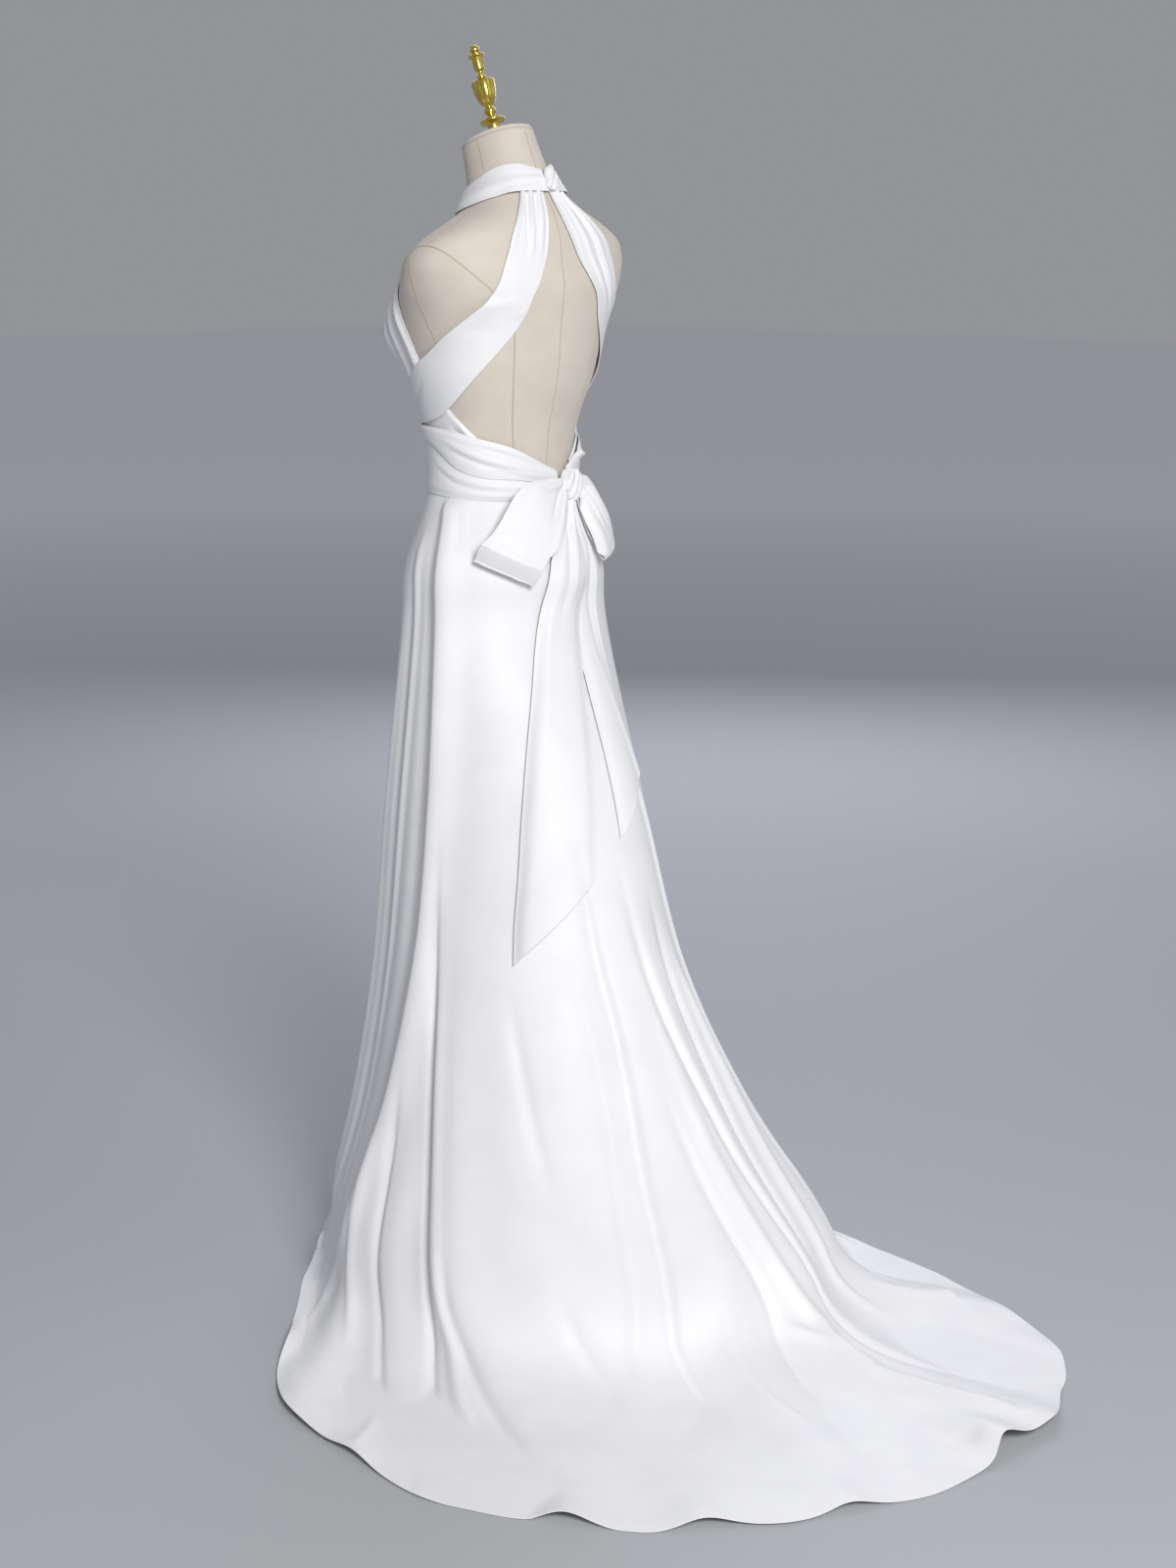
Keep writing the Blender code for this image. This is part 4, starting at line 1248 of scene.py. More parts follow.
@dataclass
class HalterTop:
    """Neckband, nape knot, halter fronts and the two straps that cross the shoulder blades."""

    form: FormSurface
    satin: bpy.types.Material
    neckband_start: float = 188.0
    neckband_turn: float = 352.0
    neckband_lift: float = 0.0072
    neckband_turn_in: float = 0.0036
    # Degrees from the front where the lower edge starts and stops turning in, each with the degrees
    # that it takes, and the share of the height that turns in
    turn_in_from: tuple[float, float] = (38.0, 8.0)
    turn_in_to: tuple[float, float] = (140.0, 20.0)
    turn_in_share: float = 0.3
    band_crown: float = 0.0014
    # Columns and rows, or steps along and across, of each mesh
    band_mesh: tuple[int, int] = (240, 17)
    front_mesh: tuple[int, int] = (131, 121)
    strap_mesh: tuple[int, int] = (190, 28)
    nape_knot: SoftKnot = SoftKnot("nape_knot", (184.0, 1.554, 0.0122), (0.017, 0.013, 0.030),
                                   (18, -14, 0), 2, 0.0009, (0.60, 0.52, 0.58))
    neckband_edges: Rows = (
        (0, 1.529, 1.560), (60, 1.531, 1.565), (90, 1.535, 1.571), (115, 1.539, 1.578),
        (150, 1.541, 1.577), (180, 1.540, 1.568), (210, 1.541, 1.577), (245, 1.539, 1.578),
        (270, 1.535, 1.571), (300, 1.531, 1.565))
    neckband_creases: tuple[Crease, ...] = (
        Crease(((60, 1.545), (110, 1.552), (160, 1.556), (185, 1.556)), 0.9, 3.5, (0.5, 0.2)),
        Crease(((95, 1.562), (130, 1.564), (165, 1.561), (186, 1.558)), -0.8, 2.6, (0.5, 0.2)),
        Crease(((120, 1.546), (150, 1.548), (186, 1.552)), -0.7, 2.4, (0.4, 0.1)),
        Crease(((190, 1.553), (215, 1.560), (250, 1.560), (290, 1.552)), 0.9, 3.6, (0.2, 0.5)),
        Crease(((192, 1.558), (222, 1.568), (255, 1.566)), -0.8, 2.6, (0.2, 0.5)),
        Crease(((305, 1.544), (340, 1.542), (380, 1.545)), -0.5, 3.0),
    )
    bodice_lift: float = 0.0044
    bodice_bridge: float = 0.0030
    bridge_length: float = 0.050
    # How far a trough may go in, the share of a front's height from which its edge turns in, and how
    # far off the form that edge ends
    bodice_trough: float = 0.0012
    edge_start: float = 0.92
    edge_lift: float = 0.0022
    bodice_edge: Rows = (
        (0.03, 1.5325), (22, 1.5330), (34, 1.5320), (40, 1.500), (47, 1.455), (55, 1.425), (65, 1.398),
        (76, 1.357), (84, 1.318), (92, 1.284), (100, 1.257), (110, 1.236), (120, 1.218), (134, 1.200),
        (150, 1.176))
    bodice_last: float = 150.0
    left_creases: tuple[Crease, ...] = (
        Crease(((53, 1.420), (60, 1.398), (68, 1.368), (75, 1.335), (82, 1.300), (88, 1.275)), 3.0, 4.5,
               (0.2, 0.25), 0.4),
        Crease(((46, 1.425), (55, 1.390), (63, 1.350), (70, 1.312), (76, 1.275)), -3.0, 3.6, (0.2, 0.3)),
        Crease(((41, 1.430), (50, 1.385), (58, 1.342), (65, 1.300), (70, 1.262)), 3.4, 5.0, (0.2, 0.3)),
        Crease(((36, 1.430), (45, 1.378), (53, 1.330), (59, 1.288)), -2.6, 4.4, (0.2, 0.3)),
        Crease(((32, 1.470), (39, 1.415), (46, 1.362), (52, 1.318)), 2.2, 6.0, (0.25, 0.4)),
        Crease(((14, 1.51), (20, 1.46), (24, 1.42)), -1.8, 6.0, (0.2, 0.6)),
        Crease(((24, 1.515), (30, 1.46), (36, 1.41)), 1.6, 5.0, (0.2, 0.6)),
        Crease(((7, 1.345), (17, 1.33), (28, 1.30)), -1.0, 8.0),
        Crease(((30, 1.29), (45, 1.27), (70, 1.25)), 1.5, 6.0),
        Crease(((98, 1.236), (110, 1.214), (122, 1.190)), -2.0, 3.4),
        Crease(((104, 1.243), (117, 1.216), (131, 1.188)), 1.8, 3.6),
    )
    right_creases: tuple[Crease, ...] = (
        Crease(((52, 1.425), (62, 1.390), (70, 1.355), (78, 1.310)), 2.8, 5.0, (0.25, 0.4)),
        Crease(((44, 1.430), (56, 1.375), (65, 1.330), (71, 1.285)), -2.6, 4.2, (0.25, 0.4)),
        Crease(((30, 1.505), (40, 1.45), (50, 1.39), (56, 1.34)), 2.0, 6.0, (0.25, 0.5)),
        Crease(((12, 1.51), (17, 1.46), (20, 1.40)), -1.6, 6.0, (0.2, 0.6)),
        Crease(((6, 1.33), (16, 1.315), (28, 1.29)), 0.9, 8.0),
        Crease(((32, 1.285), (50, 1.268), (76, 1.252)), -1.6, 6.0),
        Crease(((104, 1.224), (118, 1.202), (130, 1.182)), -1.4, 4.0),
    )
    left_strap_top: Rows = (
        (148.0, 1.5450, 174.5, 1.5440, 0.0036), (149.5, 1.5050, 171.5, 1.5020, 0.0036),
        (149.0, 1.4700, 169.5, 1.4680, 0.0036), (144.0, 1.4370, 165.5, 1.4400, 0.0036),
        (138.0, 1.4150, 160.7, 1.4150, 0.0036))
    right_strap_top: Rows = (
        (148.0, 1.5450, 177.5, 1.5440, 0.0036), (149.5, 1.5050, 178.0, 1.5120, 0.0036),
        (148.5, 1.4700, 174.5, 1.4740, 0.0036), (144.0, 1.4370, 168.5, 1.4410, 0.0036),
        (138.0, 1.4150, 161.5, 1.4145, 0.0036))
    strap_end: Rows = (
        (130.0, 1.3990, 155.0, 1.3830, 0.0036), (118.0, 1.3780, 147.0, 1.3570, 0.0037),
        (106.0, 1.3580, 134.6, 1.3260, 0.0042), (94.4, 1.3380, 120.4, 1.2950, 0.0064),
        (82.0, 1.3200, 108.0, 1.2700, 0.0080), (69.0, 1.3020, 95.0, 1.2500, 0.0082),
        (54.0, 1.2860, 80.0, 1.2390, 0.0082), (38.0, 1.2740, 58.0, 1.2350, 0.0082),
        (20.0, 1.2670, 28.0, 1.2345, 0.0082), (0.05, 1.2660, 0.05, 1.2345, 0.0082))
    left_strap_creases: tuple[Crease, ...] = (
        Crease(((0.12, 0.0), (0.10, 1.2), (0.06, 2.4)), 2.4, 2.6, (0.0, 0.6)),
        Crease(((0.28, 0.0), (0.34, 0.6), (0.44, 1.3), (0.50, 2.0)), -3.4, 2.4, (0.0, 0.45)),
        Crease(((0.40, 0.0), (0.48, 0.7), (0.58, 1.5), (0.60, 2.6)), 3.0, 3.4, (0.0, 0.5)),
        Crease(((0.62, 0.0), (0.60, 0.5), (0.56, 1.1)), -3.0, 2.2, (0.0, 0.5)),
        Crease(((0.78, 0.0), (0.80, 1.0), (0.84, 2.4)), 2.6, 3.0, (0.0, 0.6)),
        Crease(((0.92, 0.2), (0.94, 1.4), (0.97, 3.0)), -1.6, 2.4, (0.1, 0.5)),
        Crease(((0.0, 3.9), (0.0, 4.9), (0.0, 5.8), (0.0, 7.0), (0.0, 8.0)), 5.0, 26.0, (0.22, 0.35)),
        Crease(((0.3, 4.2), (0.7, 4.5), (1.0, 4.9)), 1.4, 10.0, (0.3, 0.2)),
        Crease(((1.0, 4.8), (1.0, 5.6), (1.0, 6.4), (1.0, 7.4)), -1.2, 20.0, (0.25, 0.35)),
        Crease(((0.12, 6.4), (0.45, 6.0), (0.8, 6.2)), -1.0, 12.0),
        Crease(((0.25, 9.0), (0.4, 11.0), (0.5, 13.0)), -1.4, 5.0),
    )
    right_strap_creases: tuple[Crease, ...] = (
        Crease(((0.42, 0.0), (0.44, 1.2), (0.46, 2.6), (0.48, 4.2), (0.50, 6.0)), -4.2, 2.8, (0.0, 0.4),
               0.5),
        Crease(((0.62, 0.0), (0.66, 1.4), (0.68, 3.0), (0.70, 5.6)), 3.2, 4.2, (0.0, 0.4)),
        Crease(((0.30, 0.0), (0.30, 1.2), (0.30, 2.8), (0.30, 4.6)), 2.6, 3.2, (0.0, 0.5)),
        Crease(((0.16, 0.0), (0.14, 1.0), (0.10, 2.4)), -2.0, 2.6, (0.0, 0.6)),
        Crease(((0.88, 0.0), (0.90, 1.4), (0.94, 3.0)), -2.0, 2.6, (0.0, 0.5)),
        Crease(((0.3, 8.6), (0.42, 10.6), (0.5, 12.6)), 1.4, 5.0),
    )

    def build(self) -> None:
        """Builds every piece above the waist."""
        self.build_neckband()
        self.build_fronts()
        self.build_straps()
        self.nape_knot.build(self.form, self.satin)

    def build_neckband(self) -> None:
        """Builds the standing band round the neck."""
        columns, rows = self.band_mesh
        turns = np.linspace(self.neckband_start, self.neckband_start + self.neckband_turn, columns)
        edges = Curve.through(self.neckband_edges, turning=True).at(turns % 360)
        azimuth, level, share = band_grid(turns, edges[:, 0], edges[:, 1], rows)
        scales = self.form.scales(azimuth, level)
        lift = self.neckband_lift + self.band_crown * np.sin(np.pi * share)
        lift = lift + sum(relief_of(self.neckband_creases, azimuth - turn, level, *scales)
                          for turn in (0, 360))
        away = np.abs(angle_between(azimuth, 0.0))
        (start, rise), (end, fall) = self.turn_in_from, self.turn_in_to
        free = smooth_step((away - start) / rise) * smooth_step((end - away) / fall)
        lift = lift - self.neckband_turn_in * free * smooth_step(1 - share / self.turn_in_share)
        cloth_piece("neckband", self.form.point(azimuth, level, lift), self.satin)

    def lift_at(self, level: np.ndarray) -> np.ndarray:
        """How far the fronts hang off the form, on their straight way from the neckband to the cups.

        Args:
            level: heights in metres.

        Returns:
            Metres out from the form.
        """
        rise = np.clip((level - self.form.cup_level) / self.bridge_length, 0, 1)
        fall = np.clip((self.bodice_edge[0][1] - level) / self.bridge_length, 0, 1)
        return self.bodice_lift + self.bodice_bridge * rise * fall

    def build_fronts(self) -> None:
        """Builds the left and right halter front, each with its own creases."""
        columns, rows = self.front_mesh
        turns = np.linspace(self.bodice_edge[0][0], self.bodice_last, columns)
        top = Curve.through(self.bodice_edge).at(turns)[:, 0]
        azimuth, level, share = band_grid(turns, WAIST_SEAM + SEAM_GAP, top, rows)
        scales = self.form.scales(azimuth, level)
        hug = smooth_step((share - self.edge_start) / (1 - self.edge_start))
        for node, creases, side in (("bodice_left", self.left_creases, Side.LEFT),
                                    ("bodice_right", self.right_creases, Side.RIGHT)):
            lift = self.lift_at(level) + relief_of(creases, azimuth, level, *scales)
            lift = np.maximum(lift, self.bodice_lift - self.bodice_trough)
            grid = self.form.point(azimuth, level, lift - (lift - self.edge_lift) * hug)
            cloth_piece(node, on_side(grid, side), self.satin)

    def build_straps(self) -> None:
        """Builds the two back straps, gathered at the nape."""
        for node, top, creases, side in (
                ("back_strap_left", self.left_strap_top, self.left_strap_creases, Side.LEFT),
                ("back_strap_right", self.right_strap_top, self.right_strap_creases, Side.RIGHT)):
            grid = strip_grid((*top, *self.strap_end), *self.strap_mesh, self.form.point, creases)
            cloth_piece(node, on_side(grid, side), self.satin)


# The sash and the bow


@dataclass
class Sash:
    """Two wraps of the sash round the waist, folded softly towards the bow."""

    form: FormSurface
    satin: bpy.types.Material
    crown: float = 0.0014
    lower_lift: float = 0.0074
    upper_lift: float = 0.0106
    # How far the top and the bottom edge of a wrap turn in, and the share of its height that does
    lower_turn_in: tuple[float, float] = (0.0, 0.0034)
    upper_turn_in: tuple[float, float] = (0.0026, 0.0006)
    turn_in_share: float = 0.16
    columns: int = 321
    rows: int = 25
    upper_edges: Rows = (
        (-161.6, 1.145, 1.168), (-150, 1.150, 1.181), (-122, 1.158, 1.207), (-95, 1.168, 1.219),
        (-60, 1.182, 1.230), (0, 1.196, 1.232), (60, 1.212, 1.232), (82, 1.201, 1.231),
        (101, 1.174, 1.227), (121, 1.160, 1.217), (153, 1.153, 1.199), (170, 1.149, 1.182),
        (186.2, 1.146, 1.166))
    lower_edges: Rows = (
        (-160.5, 1.125, 1.143), (-140, 1.124, 1.166), (-100, 1.128, 1.184), (0, 1.132, 1.212),
        (65, 1.132, 1.222), (82, 1.131, 1.212), (101, 1.128, 1.186), (121, 1.126, 1.174),
        (155, 1.124, 1.164), (185, 1.126, 1.1445))
    upper_creases: tuple[Crease, ...] = (
        Crease(((84, 1.222), (104, 1.205), (128, 1.186), (158, 1.170), (186, 1.156)), 2.0, 5.0),
        Crease(((92, 1.205), (112, 1.188), (140, 1.170), (168, 1.160)), -1.8, 3.6),
        Crease(((110, 1.213), (135, 1.198), (160, 1.181), (184, 1.162)), -1.5, 3.2),
        Crease(((124, 1.176), (150, 1.166), (184, 1.152)), 1.6, 3.2),
        Crease(((-60, 1.215), (-95, 1.205), (-130, 1.185), (-160, 1.158)), 1.8, 5.0),
        Crease(((-148, 1.181), (-137, 1.186), (-127, 1.180), (-118, 1.172)), 6.0, 5.0),
        Crease(((-80, 1.195), (-115, 1.182), (-150, 1.165)), -1.5, 4.0),
        Crease(((-40, 1.208), (0, 1.218), (50, 1.222)), -1.2, 4.5),
        Crease(((-50, 1.222), (-10, 1.206), (30, 1.215)), 1.1, 5.0),
    )
    lower_creases: tuple[Crease, ...] = (
        Crease(((70, 1.195), (95, 1.165), (125, 1.148), (160, 1.142), (184, 1.136)), 1.6, 5.0),
        Crease(((76, 1.180), (98, 1.152), (125, 1.139), (150, 1.135)), -1.5, 3.5),
        Crease(((-150, 1.145), (-115, 1.158), (-70, 1.165), (-20, 1.172)), 1.5, 6.0),
        Crease(((-140, 1.136), (-100, 1.146), (-50, 1.150)), -1.3, 4.5),
        Crease(((10, 1.150), (35, 1.160), (64, 1.165)), 1.2, 6.0),
    )

    def build(self) -> None:
        """Builds both wraps."""
        for node, edges, out, turn_in, creases in (
                ("sash_lower", self.lower_edges, self.lower_lift, self.lower_turn_in,
                 self.lower_creases),
                ("sash_upper", self.upper_edges, self.upper_lift, self.upper_turn_in,
                 self.upper_creases)):
            turns = np.linspace(edges[0][0], edges[-1][0], self.columns)
            levels = Curve.through(edges).at(turns)
            azimuth, level, share = band_grid(turns, levels[:, 0], levels[:, 1], self.rows)
            scales = self.form.scales(azimuth, level)
            lift = out + self.crown * np.sin(np.pi * share) + relief_of(creases, azimuth, level, *scales)
            for amount, inward in zip(turn_in, (1 - share, share)):
                lift = lift - amount * smooth_step(1 - inward / self.turn_in_share)
            cloth_piece(node, self.form.point(azimuth, level, lift), self.satin)


@dataclass
class Bow:
    """Bow at the back of the waist: a knot, two loops and two long tails."""

    dress: DressSurface
    satin: bpy.types.Material
    crown: float = 0.002
    knot: SoftKnot = SoftKnot("bow_knot", (194.6, 1.140, 0.0182), (0.026, 0.022, 0.040),
                              (0, -10, 14.6), 3, 0.0020, (0.66, 0.52, 0.56))
    left_loop: Rows = (
        (188.2, 1.152, 188.2, 1.132, 0.018), (172, 1.153, 183, 1.108, 0.025),
        (155, 1.146, 177, 1.076, 0.031), (144, 1.118, 169, 1.050, 0.034),
        (134, 1.074, 162.5, 1.038, 0.0345), (128.3, 1.059, 158.3, 1.0255, 0.0345),
        (127.2, 1.056, 157.4, 1.0225, 0.0325), (124.3, 1.043, 156.2, 1.010, 0.0160),
        (124.0, 1.042, 156.0, 1.009, 0.0140), (127, 1.054, 158, 1.015, 0.0105),
        (138, 1.090, 164, 1.036, 0.0095), (152, 1.120, 172, 1.062, 0.0105),
        (170, 1.144, 180, 1.096, 0.0120), (188.0, 1.148, 188.0, 1.136, 0.0150))
    right_loop: Rows = (
        (197.8, 1.132, 197.8, 1.152, 0.018), (198.5, 1.108, 212, 1.150, 0.0245),
        (198.5, 1.082, 222, 1.125, 0.0285), (199, 1.060, 230, 1.092, 0.0300),
        (200, 1.042, 232, 1.060, 0.0280), (203, 1.028, 229, 1.041, 0.0225),
        (203, 1.034, 228, 1.052, 0.0160), (201, 1.060, 226, 1.095, 0.0130),
        (200, 1.090, 214, 1.130, 0.0135), (198.6, 1.136, 198.6, 1.148, 0.0150))
    left_tail: Rows = (
        (188, 1.1225, 197, 1.1225, 0.0170), (181, 1.085, 196, 1.085, 0.0138),
        (170, 1.040, 195, 1.040, 0.0140), (163.7, 0.975, 190, 0.985, 0.0138),
        (155, 0.896, 184, 0.925, 0.0125), (146, 0.794, 177, 0.845, 0.0125),
        (141, 0.700, 170.5, 0.765, 0.0125), (138.5, 0.600, 165.5, 0.680, 0.0125),
        (137.3, 0.540, 163.5, 0.635, 0.0125), (136.9, 0.488, 162, 0.600, 0.0125))
    right_tail: Rows = (
        (191, 1.1230, 198, 1.1230, 0.0120), (188, 1.080, 203, 1.080, 0.0085),
        (185, 1.020, 206, 1.020, 0.0068), (183, 0.940, 207, 0.950, 0.0068),
        (180, 0.841, 204, 0.870, 0.0068), (177, 0.740, 199, 0.800, 0.0068),
        (174.5, 0.650, 196, 0.735, 0.0068))
    left_loop_creases: tuple[Crease, ...] = (
        Crease(((0.55, 0.0), (0.60, 0.9), (0.70, 1.8), (0.78, 2.8)), -4.0, 3.6, (0.0, 0.5), 0.4),
        Crease(((0.30, 0.1), (0.32, 1.0), (0.30, 2.0), (0.24, 3.0)), 2.8, 4.6, (0.1, 0.6)),
        Crease(((0.80, 0.2), (0.86, 1.2), (0.92, 2.4), (0.97, 3.6)), 3.4, 4.0, (0.1, 0.4)),
        Crease(((0.12, 0.6), (0.10, 1.6), (0.12, 2.8)), -2.0, 3.6, (0.2, 0.5)),
        Crease(((0.10, 4.1), (0.5, 4.5), (0.9, 4.3)), -1.6, 9.0, (0.2, 0.2)),
        Crease(((0.4, 12.6), (0.45, 11.4), (0.5, 10.2)), -2.0, 4.0, (0.0, 0.6)),
    )
    right_loop_creases: tuple[Crease, ...] = (
        Crease(((0.0, 0.6), (0.0, 1.8), (0.0, 3.0), (0.0, 4.6)), -9.0, 9.0, (0.2, 0.1)),
        Crease(((0.34, 0.0), (0.36, 1.0), (0.38, 2.2), (0.34, 3.6)), 4.0, 4.0, (0.0, 0.4)),
        Crease(((0.56, 0.0), (0.58, 1.2), (0.56, 2.6), (0.54, 4.0)), -4.0, 3.6, (0.0, 0.3), 0.4),
        Crease(((0.78, 0.2), (0.76, 1.2), (0.74, 2.6), (0.76, 4.2)), 3.6, 4.6, (0.1, 0.3)),
        Crease(((0.3, 4.6), (0.6, 4.2), (0.9, 4.4)), -2.4, 5.0, (0.2, 0.2)),
        Crease(((0.6, 8.8), (0.55, 7.6), (0.5, 6.6)), -2.0, 4.0, (0.0, 0.6)),
    )
    left_tail_creases: tuple[Crease, ...] = (
        Crease(((0.30, 0.0), (0.34, 1.2), (0.42, 2.6), (0.52, 4.2)), -3.4, 5.0, (0.05, 0.7)),
        Crease(((0.50, 0.0), (0.52, 1.2), (0.58, 2.6), (0.66, 4.0)), 3.2, 6.0, (0.05, 0.7)),
        Crease(((0.76, 0.0), (0.78, 1.4), (0.84, 3.0)), -2.4, 4.0, (0.05, 0.7)),
        Crease(((0.14, 0.4), (0.18, 2.0), (0.24, 4.0), (0.30, 6.0)), 2.4, 8.0, (0.2, 0.6)),
        Crease(((0.0, 0.4), (0.0, 2.2), (0.0, 4.4), (0.0, 6.6), (0.0, 9.0)), -7.0, 15.0, (0.1, 0.0)),
        Crease(((1.0, 1.6), (1.0, 3.4), (1.0, 5.4), (1.0, 7.2), (1.0, 9.0)), -5.0, 16.0, (0.2, 0.0)),
    )
    right_tail_creases: tuple[Crease, ...] = (
        Crease(((0.40, 0.0), (0.46, 1.4), (0.52, 3.0), (0.56, 4.6)), -3.0, 5.0, (0.05, 0.6)),
        Crease(((0.64, 0.0), (0.70, 1.4), (0.76, 3.2), (0.80, 5.2)), 2.8, 5.0, (0.05, 0.5)),
        Crease(((0.16, 0.2), (0.20, 1.6), (0.24, 3.2)), 2.0, 5.0, (0.2, 0.6)),
        Crease(((0.0, 1.0), (0.0, 3.0), (0.0, 6.0)), -3.0, 12.0, (0.2, 0.0)),
    )

    def build(self) -> None:
        """Builds the knot, the loops and the tails."""
        self.knot.build(self.dress, self.satin)
        for node, edges, creases, along, across in (
                ("bow_loop_left", self.left_loop, self.left_loop_creases, 150, 32),
                ("bow_loop_right", self.right_loop, self.right_loop_creases, 130, 32),
                ("bow_tail_left", self.left_tail, self.left_tail_creases, 190, 40),
                ("bow_tail_right", self.right_tail, self.right_tail_creases, 150, 34)):
            grid = strip_grid(edges, along, across, self.dress.point, creases, self.crown)
            cloth_piece(node, grid, self.satin)


# The skirt


